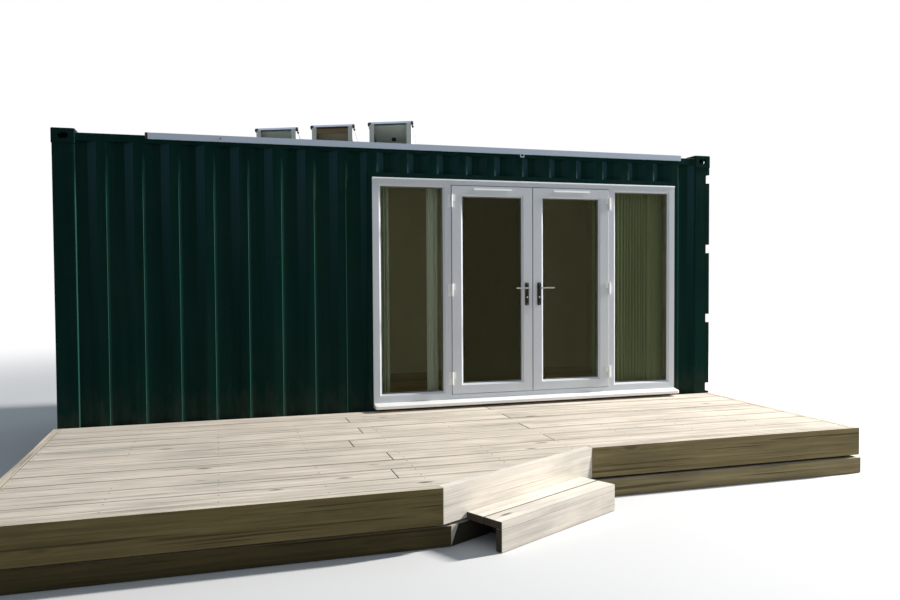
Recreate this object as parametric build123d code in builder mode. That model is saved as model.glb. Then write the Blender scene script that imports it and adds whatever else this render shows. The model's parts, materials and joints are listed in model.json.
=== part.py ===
"""A shipping container made into a garden cabin.

A steel box of the common twenty foot size stands on timber sleepers. One long side is cut
open for a white door set: two glazed leaves that swing out between two fixed sidelights.
The far end keeps its cargo doors, shut. A timber deck with a cut-off corner and one box
step lies in front, and three small solar panels stand on the roof.

Millimetres, X along the container, front towards -Y, Z up. The origin is on the ground
under the middle of the container.
"""
import math
import os

from build123d import *

os.makedirs("parts", exist_ok=True)

# Container, outside
LENGTH = 6058.0
WIDTH = 2438.0
HEIGHT = 2591.0
BASE_LIFT = 160.0
SETBACK = 6.0
CASTING_LENGTH, CASTING_WIDTH, CASTING_HEIGHT = 178.0, 162.0, 118.0
CASTING_WALL = 28.0
CASTING_SIDE_SLOT = (79.0, 51.0)
CASTING_END_SLOT = (63.5, 51.0)
CASTING_TOP_SLOT = (124.0, 63.5)
CASTING_EDGE = 10.0

# Steel frame
POST_WIDTH = 172.0
POST_DEPTH = 156.0
POST_STEEL = 6.0
POST_LIP = 30.0
RAIL_LIFT = 12.5
BOTTOM_RAIL_HEIGHT = 158.0
BOTTOM_RAIL_FLANGE = 48.0
BOTTOM_RAIL_STEEL = 6.0
TOP_RAIL = 60.0
TOP_RAIL_STEEL = 4.0
TOP_RAIL_DROP = 35.0
CROSS_MEMBER_HEIGHT = 122.0
CROSS_MEMBER_WIDTH = 45.0
CROSS_MEMBER_STEEL = 4.0
CROSS_MEMBER_PITCH = 400.0
CROSS_MEMBER_RISE = 9.5

# Pressed steel sheets
SHEET = 2.0
WALL_CREST, WALL_SLOPE, WALL_VALLEY, WALL_PRESS = 72.0, 68.0, 70.0, 36.0
FRONT_FIRST_CREST = 329.0
ROOF_CREST, ROOF_SLOPE, ROOF_VALLEY, ROOF_PRESS = 91.0, 13.5, 91.0, 20.0
ROOF_END_MARGIN, ROOF_SIDE_MARGIN = 250.0, 110.0
SIDE_FIT = 3.0

# Room
LINING = 50.0
FLOOR_THICKNESS = 71.0

# Cargo doors at the right-hand end
CARGO_RECESS = 60.0
CARGO_DEPTH = 50.0
CARGO_FRAME = 60.0
CARGO_GAP = 3.0
CARGO_PRESS = 30.0
CARGO_HINGES = 4
CARGO_HINGE_FROM_BASE, CARGO_HINGE_FROM_TOP = 250.0, 235.0
NOTCH_WIDTH, NOTCH_HEIGHT = 56.0, 85.0
LOCK_ROD_RADIUS = 17.0
LOCK_ROD_FROM_HINGES, LOCK_ROD_FROM_MIDDLE = 315.0, 250.0

# Opening in the long side, and the door set in it
OPENING_FROM_RIGHT = 419.0
OPENING_WIDTH = 3060.0
OPENING_STEEL = 44.0
OPENING_PROUD = 4.0
FRAME_FROM_BASE, FRAME_FROM_TOP = 262.0, 315.0
FRAME_DEPTH = 70.0
FRAME_PROUD = 10.0
FRAME_FACE = 59.0
DRIP = 12.0
DRIP_EDGE = 4.0
BEVEL = 20.0
DOORWAY_WIDTH = 1600.0
DOORWAY_SILL, DOORWAY_HEAD = 43.0, 53.0
GLASS = 28.0
GLASS_EDGE = 12.0
GLASS_SLACK = 1.0
STOP_DEPTH, STOP_REACH = 17.0, 15.0
SILL_PROJECTION = 100.0
SILL_HEIGHT = 43.0
SILL_NOSE = 27.0

# Leaves
LEAF_GAP = 5.0
LEAF_MEETING_GAP = 8.0
LEAF_DEPTH = 56.0
LEAF_PROUD = 8.0
LEAF_STILE = 88.0
LEAF_RAIL = 77.0
LEAF_EDGE_CUT = 6.0
HINGE_FROM_BOTTOM, HINGE_FROM_TOP = 145.0, 138.0
HINGE_HEIGHT = 115.0
HINGE_PIN, HINGE_KNUCKLE, HINGE_FIT = 4.0, 9.0, 0.3
HINGE_PLATE = 3.0
HINGE_PLATE_WIDTH = 34.0
VENT_LENGTH, VENT_HEIGHT, VENT_DEPTH = 371.0, 16.0, 12.0
VENT_FROM_TOP = 29.0
PLATE_WIDTH, PLATE_HEIGHT, PLATE_DEPTH = 36.0, 215.0, 9.0
PLATE_ABOVE_LEVER = 50.0
CYLINDER_BELOW_LEVER = 92.0
LEVER_ABOVE_FLOOR = 1063.0
LEVER_INSET = 58.0
LEVER_LENGTH = 130.0
LEVER_REACH = 52.0
LEVER_RADIUS = 8.0
SPINDLE_RADIUS = 5.0

# Roof edge and solar panels
TRIM_FROM_LEFT, TRIM_FROM_RIGHT = 723.0, 345.0
TRIM_HEIGHT, TRIM_DEPTH, TRIM_TOP = 50.0, 14.0, 60.0
TRIM_SHEET = 2.0
PANEL_WIDTH, PANEL_LENGTH, PANEL_DEPTH = 400.0, 440.0, 25.0
PANEL_RIM = 22.0
PANEL_TILT = 34.5
PANEL_TURN = -24.1
PANEL_PITCH = 578.0
PANEL_ROW_TURN = -29.2
PANEL_ROW_CENTRE = (2325.0, 640.0)
STAND_SHEET = 4.0
STAND_FLANGE = 45.0
STAND_TOE = 25.0
SURROUND_BOARD, SURROUND_DEPTH = 42.0, 20.0
BLOCK_LENGTH, BLOCK_WIDTH, BLOCK_HEIGHT = 150.0, 70.0, 30.0

# Deck and step
DECK_TOP = 351.0
DECK_BOARD = 45.0
DECK_LEFT_OVERHANG = 20.0
DECK_DEPTH = 2550.0
DECK_SHORT_DEPTH = 1893.0
DECK_CUT_START, DECK_CUT_END = 2469.0, 3749.0
FASCIA_DEPTH = 213.0
FASCIA_THICKNESS = 58.0
SKIRT_HEIGHT = 120.0
SKIRT_RECESS, SKIRT_PROUD = 28.0, 14.0
JOIST_WIDTH = 50.0
JOIST_PITCH = 600.0
TIMBER_GAP = 1.0
STEP_START, STEP_END = 189.0, 1302.0
STEP_DEPTH = 275.0
STEP_TOP = 175.0
STEP_TREAD = 45.0
STEP_BOARD = 45.0
STEP_END_INSET = 220.0
STEP_TREAD_GAP = 5.0

# Ground and inside
SLEEPER_WIDTH = 250.0
SLEEPERS_BETWEEN = 3
CURTAIN_DEPTH = 50.0
CURTAIN_OFF_WALL = 25.0
CURTAIN_ABOVE_FLOOR = 12.0
CURTAIN_RAIL_RADIUS = 12.0
CURTAIN_NARROW, CURTAIN_WIDE, CURTAIN_SIDE = 115.0, 470.0, 75.0

# Places that follow from the sizes
LEFT, RIGHT = -LENGTH / 2, LENGTH / 2
FRONT, BACK = -WIDTH / 2, WIDTH / 2
BASE = BASE_LIFT
TOP = BASE + HEIGHT
RAIL_BOTTOM = BASE + RAIL_LIFT
RAIL_TOP = RAIL_BOTTOM + BOTTOM_RAIL_HEIGHT
CEILING_TOP = TOP - TOP_RAIL_DROP
WALL_TOP = CEILING_TOP - TOP_RAIL
LINING_TOP = TOP - CASTING_HEIGHT
INNER = SETBACK + BOTTOM_RAIL_FLANGE
ROOM = INNER + LINING
FLOOR_BOTTOM = RAIL_BOTTOM + CROSS_MEMBER_RISE + CROSS_MEMBER_HEIGHT
FLOOR_TOP = FLOOR_BOTTOM + FLOOR_THICKNESS
ROOF_TOP = CEILING_TOP + ROOF_PRESS + SHEET
CARGO_BACK = CARGO_RECESS + TOP_RAIL
POST_INNER = SETBACK + POST_WIDTH

OPEN_RIGHT = RIGHT - OPENING_FROM_RIGHT
OPEN_LEFT = OPEN_RIGHT - OPENING_WIDTH
OPEN_BOTTOM = BASE + FRAME_FROM_BASE
OPEN_TOP = TOP - FRAME_FROM_TOP
LINTEL_TOP = OPEN_TOP + OPENING_STEEL
DOOR_CENTRE = (OPEN_LEFT + OPEN_RIGHT) / 2
FRAME_FRONT = FRONT - FRAME_PROUD
DOORWAY_LEFT = DOOR_CENTRE - DOORWAY_WIDTH / 2
DOORWAY_RIGHT = DOOR_CENTRE + DOORWAY_WIDTH / 2
DOORWAY_BOTTOM = OPEN_BOTTOM + DOORWAY_SILL
DOORWAY_TOP = OPEN_TOP - DOORWAY_HEAD
LEAF_FRONT = FRAME_FRONT - LEAF_PROUD
LEAF_WIDTH = DOORWAY_WIDTH / 2 - LEAF_GAP - LEAF_MEETING_GAP / 2
LEAF_BOTTOM = DOORWAY_BOTTOM + LEAF_GAP
LEAF_TOP = DOORWAY_TOP - LEAF_GAP
HINGE_Y = LEAF_FRONT - HINGE_KNUCKLE
CARGO_HINGE_LEVELS = [
    BASE + CARGO_HINGE_FROM_BASE
    + i * (HEIGHT - CARGO_HINGE_FROM_BASE - CARGO_HINGE_FROM_TOP) / (CARGO_HINGES - 1)
    for i in range(CARGO_HINGES)
]


def boxes(*corners):
    """Plain rectangular pieces, each from its lowest to its highest corner."""
    with BuildPart() as blocks:
        for low, high in corners:
            with Locations(low):
                Box(*[b - a for a, b in zip(low, high)], align=(Align.MIN, Align.MIN, Align.MIN))
    return blocks.part


def front_plane(x, y, z):
    """A plane seen from the front: its X is the container's, its Y is up."""
    return Plane((x, y, z), x_dir=(1, 0, 0), z_dir=(0, -1, 0))


def save(part, name):
    """Label a finished piece and write it."""
    part.label = name
    export_step(part, f"parts/{name}.step")


def pressed_depth(place, first, crest, slope, valley, press):
    """How far behind the crests a pressed sheet lies at a place along it."""
    phase = (place - first) % (crest + 2 * slope + valley)
    if phase < crest:
        return 0.0
    if phase < crest + slope:
        return press * (phase - crest) / slope
    if phase < crest + slope + valley:
        return press
    return press * (crest + 2 * slope + valley - phase) / slope


def pressed_line(start, end, first, shape):
    """The corners of a pressed sheet's outer face from start to end."""
    crest, slope, valley, press = shape
    pitch = crest + 2 * slope + valley
    places = [start, end]
    base = first + pitch * math.floor((start - first) / pitch)
    while base < end:
        for corner in (base, base + crest, base + crest + slope, base + pitch - slope):
            if start + SHEET < corner < end - SHEET:
                places.append(corner)
        base += pitch
    return [(p, pressed_depth(p, first, *shape)) for p in sorted(places)]


def pressed_sheets(plane, height, *lines):
    """Pressed sheets standing on a plane, each with its outer face along its line."""
    with BuildPart() as walls:
        for line in lines:
            with BuildSketch(plane):
                with BuildLine():
                    Polyline(*line, *[(p, d + SHEET) for p, d in reversed(line)], close=True)
                make_face()
            extrude(amount=height)
    return walls.part


WALL_SHAPE = (WALL_CREST, WALL_SLOPE, WALL_VALLEY, WALL_PRESS)
ROOF_PITCH = ROOF_CREST + 2 * ROOF_SLOPE + ROOF_VALLEY


# Sleepers under the castings and the rails
def sleepers():
    """Timbers on the ground: one under each end, the others under the bottom rails."""
    span = LENGTH - SLEEPER_WIDTH
    count = SLEEPERS_BETWEEN + 2
    with BuildPart() as timbers:
        for i in range(count):
            x = -span / 2 + span * i / (count - 1)
            height = BASE if i in (0, count - 1) else RAIL_BOTTOM
            with Locations((x, 0, 0)):
                Box(SLEEPER_WIDTH, WIDTH, height, align=(Align.CENTER, Align.CENTER, Align.MIN))
    return timbers.part


save(sleepers(), "sleepers")


# Corner castings
def corner_castings():
    """Eight hollow castings, each with a slot in its end, its side and its level face."""
    with BuildPart() as castings:
        with Locations((LEFT + CASTING_LENGTH / 2, FRONT + CASTING_WIDTH / 2, TOP - CASTING_HEIGHT / 2)):
            Box(CASTING_LENGTH, CASTING_WIDTH, CASTING_HEIGHT)
        top = castings.faces().sort_by(Axis.Z)[-1]
        fillet(top.edges() + castings.edges().filter_by(Axis.Z), CASTING_EDGE)
        with Locations((LEFT + CASTING_LENGTH / 2, FRONT + CASTING_WIDTH / 2, TOP - CASTING_HEIGHT / 2)):
            Box(CASTING_LENGTH - 2 * CASTING_WALL, CASTING_WIDTH - 2 * CASTING_WALL,
                CASTING_HEIGHT - 2 * CASTING_WALL, mode=Mode.SUBTRACT)
        middle = TOP - CASTING_HEIGHT / 2
        with BuildSketch(front_plane(LEFT + CASTING_LENGTH / 2, FRONT, middle)):
            SlotOverall(*CASTING_SIDE_SLOT)
        extrude(amount=-CASTING_WALL * 1.5, mode=Mode.SUBTRACT)
        with BuildSketch(Plane((LEFT, FRONT + CASTING_WIDTH / 2, middle), x_dir=(0, 1, 0), z_dir=(-1, 0, 0))):
            SlotOverall(*CASTING_END_SLOT)
        extrude(amount=-CASTING_WALL * 1.5, mode=Mode.SUBTRACT)
        with BuildSketch(Plane((LEFT + CASTING_LENGTH / 2, FRONT + CASTING_WIDTH / 2, TOP))):
            SlotOverall(*CASTING_TOP_SLOT)
        extrude(amount=-CASTING_WALL * 1.5, mode=Mode.SUBTRACT)
        mirror(about=Plane.XZ)
        mirror(about=Plane.YZ)
        mirror(about=Plane.XY.offset((BASE + TOP) / 2))
    return castings.part


save(corner_castings(), "corner_castings")


# Corner posts
def corner_posts():
    """Open pressed posts at the plain end, closed ones with hinge notches at the doors."""
    low, high = BASE + CASTING_HEIGHT, TOP - CASTING_HEIGHT
    x, y = LEFT + SETBACK, FRONT + SETBACK
    with BuildPart() as posts:
        with BuildSketch(Plane.XY.offset(low)):
            with BuildLine():
                Polyline(
                    (x + POST_WIDTH, y + POST_LIP), (x + POST_WIDTH, y), (x, y), (x, y + POST_DEPTH),
                    (x + POST_LIP, y + POST_DEPTH), (x + POST_LIP, y + POST_DEPTH - POST_STEEL),
                    (x + POST_STEEL, y + POST_DEPTH - POST_STEEL), (x + POST_STEEL, y + POST_STEEL),
                    (x + POST_WIDTH - POST_STEEL, y + POST_STEEL),
                    (x + POST_WIDTH - POST_STEEL, y + POST_LIP), close=True)
            make_face()
            with Locations((RIGHT - SETBACK, y)):
                Rectangle(POST_WIDTH, BOTTOM_RAIL_FLANGE, align=(Align.MAX, Align.MIN))
            with Locations((RIGHT - SETBACK - POST_STEEL, y + POST_STEEL)):
                Rectangle(POST_WIDTH - 2 * POST_STEEL, BOTTOM_RAIL_FLANGE - 2 * POST_STEEL,
                          align=(Align.MAX, Align.MIN), mode=Mode.SUBTRACT)
        extrude(amount=high - low)
        for level in CARGO_HINGE_LEVELS:
            with Locations((RIGHT - SETBACK, y, level)):
                Box(NOTCH_WIDTH, BOTTOM_RAIL_FLANGE, NOTCH_HEIGHT + 2 * POST_STEEL,
                    align=(Align.MAX, Align.MIN, Align.CENTER))
                Box(NOTCH_WIDTH, BOTTOM_RAIL_FLANGE, NOTCH_HEIGHT,
                    align=(Align.MAX, Align.MIN, Align.CENTER), mode=Mode.SUBTRACT)
        mirror(about=Plane.XZ)
    return posts.part


save(corner_posts(), "corner_posts")


# Bottom rails, floor bearers and floor
def bottom_rails():
    """Two channel side rails, and a box section across each end."""
    y = FRONT + SETBACK
    flange, steel = BOTTOM_RAIL_FLANGE, BOTTOM_RAIL_STEEL
    with BuildPart() as rails:
        with BuildSketch(Plane((LEFT + CASTING_LENGTH, 0, 0), x_dir=(0, 1, 0), z_dir=(1, 0, 0))):
            with BuildLine():
                Polyline((y, RAIL_BOTTOM), (y + flange, RAIL_BOTTOM), (y + flange, RAIL_BOTTOM + steel),
                         (y + steel, RAIL_BOTTOM + steel), (y + steel, RAIL_TOP - steel),
                         (y + flange, RAIL_TOP - steel), (y + flange, RAIL_TOP), (y, RAIL_TOP), close=True)
            make_face()
        extrude(amount=LENGTH - 2 * CASTING_LENGTH)
        mirror(about=Plane.XZ)
        for x, across in ((LEFT + SETBACK, flange), (RIGHT - CARGO_BACK, TOP_RAIL)):
            with BuildSketch(front_plane(0, FRONT + CASTING_WIDTH, 0)):
                with Locations((x, RAIL_BOTTOM)):
                    Rectangle(across, BOTTOM_RAIL_HEIGHT, align=(Align.MIN, Align.MIN))
                with Locations((x + steel, RAIL_BOTTOM + steel)):
                    Rectangle(across - 2 * steel, BOTTOM_RAIL_HEIGHT - 2 * steel,
                              align=(Align.MIN, Align.MIN), mode=Mode.SUBTRACT)
            extrude(amount=-(WIDTH - 2 * CASTING_WIDTH))
    return rails.part


def cross_members():
    """Channels across the container that carry its floor."""
    steel = CROSS_MEMBER_STEEL
    low = FLOOR_BOTTOM - CROSS_MEMBER_HEIGHT
    reach = SETBACK + BOTTOM_RAIL_STEEL
    count = int((LENGTH - 2 * CASTING_LENGTH) // CROSS_MEMBER_PITCH)
    with BuildPart() as members:
        with BuildSketch(front_plane(0, FRONT + reach, low)):
            with GridLocations(CROSS_MEMBER_PITCH, 1, count, 1):
                with Locations((0, CROSS_MEMBER_HEIGHT / 2)):
                    Rectangle(CROSS_MEMBER_WIDTH, CROSS_MEMBER_HEIGHT)
                with Locations((steel, CROSS_MEMBER_HEIGHT / 2)):
                    Rectangle(CROSS_MEMBER_WIDTH, CROSS_MEMBER_HEIGHT - 2 * steel, mode=Mode.SUBTRACT)
        extrude(amount=-(WIDTH - 2 * reach))
    return members.part


save(bottom_rails(), "bottom_rails")
save(cross_members(), "cross_members")
save(boxes(((LEFT + INNER, FRONT + INNER, FLOOR_BOTTOM), (RIGHT - CARGO_BACK, BACK - INNER, FLOOR_TOP))),
     "floor")


# Top rails and roof
def top_rails():
    """Square tubes along both sides and across the plain end, and the door header."""
    steel = TOP_RAIL_STEEL
    with BuildPart() as rails:
        with BuildSketch(Plane((LEFT + CASTING_LENGTH, 0, 0), x_dir=(0, 1, 0), z_dir=(1, 0, 0))):
            with Locations((FRONT + SETBACK, WALL_TOP)):
                Rectangle(TOP_RAIL, TOP_RAIL, align=(Align.MIN, Align.MIN))
            with Locations((FRONT + SETBACK + steel, WALL_TOP + steel)):
                Rectangle(TOP_RAIL - 2 * steel, TOP_RAIL - 2 * steel,
                          align=(Align.MIN, Align.MIN), mode=Mode.SUBTRACT)
        extrude(amount=LENGTH - 2 * CASTING_LENGTH)
        mirror(about=Plane.XZ)
        for x, low in ((LEFT + SETBACK, WALL_TOP), (RIGHT - CARGO_BACK, TOP - CASTING_HEIGHT)):
            with BuildSketch(front_plane(0, FRONT + CASTING_WIDTH, 0)):
                with Locations((x, low)):
                    Rectangle(TOP_RAIL, CEILING_TOP - low, align=(Align.MIN, Align.MIN))
                with Locations((x + steel, low + steel)):
                    Rectangle(TOP_RAIL - 2 * steel, CEILING_TOP - low - 2 * steel,
                              align=(Align.MIN, Align.MIN), mode=Mode.SUBTRACT)
            extrude(amount=-(WIDTH - 2 * CASTING_WIDTH))
    return rails.part


def roof_sheet():
    """The roof, stamped with ribs that stop short of its edges, and cut round the castings."""
    start, end = LEFT + SETBACK, RIGHT - CARGO_RECESS
    middle = ((start + end) / 2, 0, CEILING_TOP)
    ribs = int((end - start - 2 * ROOF_END_MARGIN) // ROOF_PITCH)
    wide, long = ROOF_CREST + 2 * ROOF_SLOPE, WIDTH - 2 * (SETBACK + ROOF_SIDE_MARGIN)
    slope = math.degrees(math.atan2(ROOF_SLOPE, ROOF_PRESS))
    with BuildPart() as roof:
        with Locations(middle):
            Box(end - start, WIDTH - 2 * SETBACK, SHEET, align=(Align.CENTER, Align.CENTER, Align.MIN))
        for lift, wall, mode in ((SHEET, 0, Mode.ADD), (0, SHEET, Mode.SUBTRACT)):
            with BuildSketch(Plane(middle).offset(lift)):
                with GridLocations(ROOF_PITCH, 1, ribs, 1):
                    Rectangle(wide - wall, long - wall)
            extrude(amount=ROOF_PRESS, taper=slope, mode=mode)
        for x in (LEFT, RIGHT):
            for y in (FRONT, BACK):
                with Locations((x, y, TOP)):
                    Box(2 * (CASTING_LENGTH + SIDE_FIT), 2 * (CASTING_WIDTH + SIDE_FIT), HEIGHT / 4,
                        mode=Mode.SUBTRACT)
    return roof.part


save(top_rails(), "top_rails")
save(roof_sheet(), "roof_sheet")

# Pressed steel walls
FIRST_CREST = LEFT + FRONT_FIRST_CREST
JAMB_LEFT = OPEN_LEFT - OPENING_STEEL
JAMB_RIGHT = OPEN_RIGHT + OPENING_STEEL
END_HALF = WIDTH / 2 - SETBACK - POST_DEPTH
save(pressed_sheets(Plane((0, FRONT + SETBACK, RAIL_TOP)), WALL_TOP - RAIL_TOP,
                    pressed_line(LEFT + POST_INNER, JAMB_LEFT, FIRST_CREST, WALL_SHAPE),
                    pressed_line(JAMB_RIGHT, RIGHT - POST_INNER, FIRST_CREST, WALL_SHAPE)), "front_walls")
save(pressed_sheets(Plane((0, FRONT + SETBACK, LINTEL_TOP)), WALL_TOP - LINTEL_TOP,
                    pressed_line(JAMB_LEFT, JAMB_RIGHT, FIRST_CREST, WALL_SHAPE)), "front_wall_over_doors")
save(pressed_sheets(Plane((0, BACK - SETBACK, RAIL_TOP), x_dir=(-1, 0, 0), z_dir=(0, 0, 1)),
                    WALL_TOP - RAIL_TOP,
                    pressed_line(-RIGHT + POST_INNER, -LEFT - POST_INNER, -WALL_CREST / 2, WALL_SHAPE)),
     "back_wall")
save(pressed_sheets(Plane((LEFT + SETBACK, 0, RAIL_TOP), x_dir=(0, -1, 0), z_dir=(0, 0, 1)),
                    WALL_TOP - RAIL_TOP,
                    pressed_line(-END_HALF, END_HALF, -WALL_CREST / 2, WALL_SHAPE)), "left_end_wall")


# Cargo doors
CARGO_FACE = RIGHT - CARGO_RECESS
CARGO_LOW = RAIL_TOP + CARGO_GAP
CARGO_HIGH = TOP - CASTING_HEIGHT - CARGO_GAP
CARGO_HALF = WIDTH / 2 - INNER - CARGO_GAP
CARGO_WIDTH = CARGO_HALF - CARGO_GAP


def end_plane(x, y, z):
    """A plane seen from the right-hand end: its X is the container's Y, its Y is up."""
    return Plane((x, y, z), x_dir=(0, 1, 0), z_dir=(1, 0, 0))


def cargo_doors():
    """Two shut steel doors: a box frame with level ribs pressed in, and hinge blades."""
    height = CARGO_HIGH - CARGO_LOW
    with BuildPart() as doors:
        with BuildSketch(end_plane(CARGO_FACE, -CARGO_HALF, CARGO_LOW)):
            Rectangle(CARGO_WIDTH, height, align=(Align.MIN, Align.MIN))
        extrude(amount=-CARGO_DEPTH)
        with BuildSketch(end_plane(CARGO_FACE, -CARGO_HALF + CARGO_FRAME, CARGO_LOW + CARGO_FRAME)):
            Rectangle(CARGO_WIDTH - 2 * CARGO_FRAME, height - 2 * CARGO_FRAME, align=(Align.MIN, Align.MIN))
        extrude(amount=-CARGO_DEPTH, mode=Mode.SUBTRACT)
        low, high = CARGO_LOW + CARGO_FRAME, CARGO_HIGH - CARGO_FRAME
        shape = (WALL_VALLEY * 2, WALL_SLOPE, WALL_VALLEY * 2, CARGO_PRESS)
        line = pressed_line(low, high, (low + high) / 2 - WALL_VALLEY, shape)
        with BuildSketch(Plane((CARGO_FACE - CARGO_GAP, -CARGO_HALF + CARGO_FRAME, 0),
                               x_dir=(0, 0, 1), z_dir=(0, 1, 0))):
            with BuildLine():
                Polyline(*[(p, -d) for p, d in line], *[(p, -d - SHEET) for p, d in reversed(line)], close=True)
            make_face()
        extrude(amount=CARGO_WIDTH - 2 * CARGO_FRAME)
        for level in CARGO_HINGE_LEVELS:
            pin = (CARGO_FACE + HINGE_KNUCKLE * 2, FRONT + INNER - HINGE_KNUCKLE * 2, level)
            with Locations(pin):
                Cylinder(HINGE_KNUCKLE, NOTCH_HEIGHT - HINGE_FIT)
            with Locations((CARGO_FACE, pin[1], level)):
                Box(CASTING_EDGE, CARGO_FRAME * 2, NOTCH_HEIGHT / 2, align=(Align.MIN, Align.MIN, Align.CENTER))
            with Locations((CARGO_FACE, pin[1], level)):
                Box(HINGE_KNUCKLE * 2, CASTING_EDGE, NOTCH_HEIGHT / 2,
                    align=(Align.MIN, Align.CENTER, Align.CENTER))
        mirror(about=Plane.XZ)
    return doors.part


def lock_rods():
    """Four upright rods with their guides, end cams and folded handles."""
    low, high = RAIL_TOP - BOTTOM_RAIL_HEIGHT / 3, TOP - CASTING_HEIGHT + TOP_RAIL_DROP
    x = CARGO_FACE + CASTING_EDGE + LOCK_ROD_RADIUS
    with BuildPart() as rods:
        for place in (LOCK_ROD_FROM_MIDDLE, CARGO_HALF - LOCK_ROD_FROM_HINGES):
            with Locations((x, place, (low + high) / 2)):
                Cylinder(LOCK_ROD_RADIUS, high - low)
            for level in (low, high):
                with Locations((CARGO_FACE, place, level)):
                    Box(x - CARGO_FACE, LOCK_ROD_RADIUS * 5, LOCK_ROD_RADIUS * 2,
                        align=(Align.MIN, Align.CENTER, Align.CENTER))
            for level in CARGO_HINGE_LEVELS:
                with Locations((CARGO_FACE, place, level)):
                    Box(x - CARGO_FACE, LOCK_ROD_RADIUS * 4, LOCK_ROD_RADIUS * 3,
                        align=(Align.MIN, Align.CENTER, Align.CENTER))
            inner = place < CARGO_HALF / 2
            with Locations((x, place, (low + high) / 2 - (0 if inner else CARGO_WIDTH / 6))):
                Box(CASTING_EDGE, CARGO_WIDTH / 3, LOCK_ROD_RADIUS * 1.6,
                    align=(Align.CENTER, Align.MIN if inner else Align.MAX, Align.CENTER))
        mirror(about=Plane.XZ)
    return rods.part


save(cargo_doors(), "cargo_doors")
save(lock_rods(), "lock_rods")

# Steel frame welded round the opening
STEEL_FRONT = FRONT + SETBACK - OPENING_PROUD
STEEL_BACK = FRONT + INNER
THRESHOLD_TOP = OPEN_BOTTOM - SILL_HEIGHT


def opening_jambs():
    """The two upright box sections beside the opening."""
    with BuildPart() as jambs:
        for x in (JAMB_LEFT, OPEN_RIGHT):
            with BuildSketch(Plane((x, STEEL_FRONT, RAIL_TOP))):
                Rectangle(OPENING_STEEL, STEEL_BACK - STEEL_FRONT, align=(Align.MIN, Align.MIN))
                with Locations((TOP_RAIL_STEEL, TOP_RAIL_STEEL)):
                    Rectangle(OPENING_STEEL - 2 * TOP_RAIL_STEEL, STEEL_BACK - STEEL_FRONT - 2 * TOP_RAIL_STEEL,
                              align=(Align.MIN, Align.MIN), mode=Mode.SUBTRACT)
            extrude(amount=OPEN_TOP - RAIL_TOP)
    return jambs.part


def opening_rails():
    """The lintel over the opening and the threshold under it."""
    with BuildPart() as rails:
        for left, right, low, high in ((JAMB_LEFT, JAMB_RIGHT, OPEN_TOP, LINTEL_TOP),
                                       (OPEN_LEFT, OPEN_RIGHT, RAIL_TOP, THRESHOLD_TOP)):
            with BuildSketch(end_plane(left, STEEL_FRONT, low)):
                Rectangle(STEEL_BACK - STEEL_FRONT, high - low, align=(Align.MIN, Align.MIN))
                with Locations((TOP_RAIL_STEEL, TOP_RAIL_STEEL)):
                    Rectangle(STEEL_BACK - STEEL_FRONT - 2 * TOP_RAIL_STEEL, high - low - 2 * TOP_RAIL_STEEL,
                              align=(Align.MIN, Align.MIN), mode=Mode.SUBTRACT)
            extrude(amount=right - left)
    return rails.part


save(opening_jambs(), "opening_jambs")
save(opening_rails(), "opening_rails")

# Insulated lining boards of the room
def ceiling_lining():
    """The ceiling between the top rails, cut round the castings."""
    low = (LEFT + SETBACK + TOP_RAIL, FRONT + SETBACK + TOP_RAIL, LINING_TOP)
    high = (RIGHT - CARGO_BACK, BACK - SETBACK - TOP_RAIL, CEILING_TOP)
    with BuildPart() as ceiling:
        add(boxes((low, high)))
        for x in (LEFT, RIGHT):
            for y in (FRONT, BACK):
                with Locations((x, y, TOP)):
                    Box(2 * CASTING_LENGTH, 2 * CASTING_WIDTH, HEIGHT / 4, mode=Mode.SUBTRACT)
    return ceiling.part


LININGS = {
    "lining_back": [((LEFT + INNER, BACK - ROOM, FLOOR_TOP), (RIGHT - POST_INNER, BACK - INNER, LINING_TOP))],
    "lining_front": [((LEFT + INNER, FRONT + INNER, FLOOR_TOP), (OPEN_LEFT, FRONT + ROOM, LINING_TOP)),
                     ((OPEN_RIGHT, FRONT + INNER, FLOOR_TOP), (RIGHT - POST_INNER, FRONT + ROOM, LINING_TOP))],
    "lining_over_doors": [((OPEN_LEFT, FRONT + INNER, OPEN_TOP), (OPEN_RIGHT, FRONT + ROOM, LINING_TOP))],
    "lining_ends": [((LEFT + INNER, FRONT + ROOM, FLOOR_TOP), (LEFT + ROOM, BACK - ROOM, LINING_TOP)),
                    ((RIGHT - POST_INNER, FRONT + INNER, FLOOR_TOP),
                     (RIGHT - CARGO_BACK, BACK - INNER, LINING_TOP))],
}
for lining_name, corner_pairs in LININGS.items():
    save(boxes(*corner_pairs), lining_name)
save(ceiling_lining(), "ceiling_lining")


# Door set
def glazed_ring(left, right, low, high, front, depth, side, rail):
    """A rectangular frame with bevelled inner edges and a groove that holds the glass."""
    wide, tall = right - left, high - low
    sight_wide, sight_tall = wide - 2 * (side + BEVEL), tall - 2 * (rail + BEVEL)
    plane = front_plane((left + right) / 2, front, (low + high) / 2)
    with BuildPart() as ring:
        with BuildSketch(plane):
            Rectangle(wide, tall)
            Rectangle(sight_wide, sight_tall, mode=Mode.SUBTRACT)
        extrude(amount=-depth)
        face = ring.faces().sort_by(Axis.Y)[0]
        chamfer(face.inner_wires()[0].edges(), BEVEL)
        with BuildSketch(plane.offset(-BEVEL)):
            Rectangle(sight_wide + 2 * GLASS_EDGE, sight_tall + 2 * GLASS_EDGE)
        extrude(amount=-GLASS, mode=Mode.SUBTRACT)
    return ring.part


def pane_corners(left, right, low, high, front, side, rail):
    """The lowest and highest corner of the sealed pane in a glazed ring's groove."""
    edge = BEVEL - GLASS_EDGE + GLASS_SLACK
    return ((left + side + edge, front + BEVEL, low + rail + edge),
            (right - side - edge, front + BEVEL + GLASS, high - rail - edge))


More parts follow.
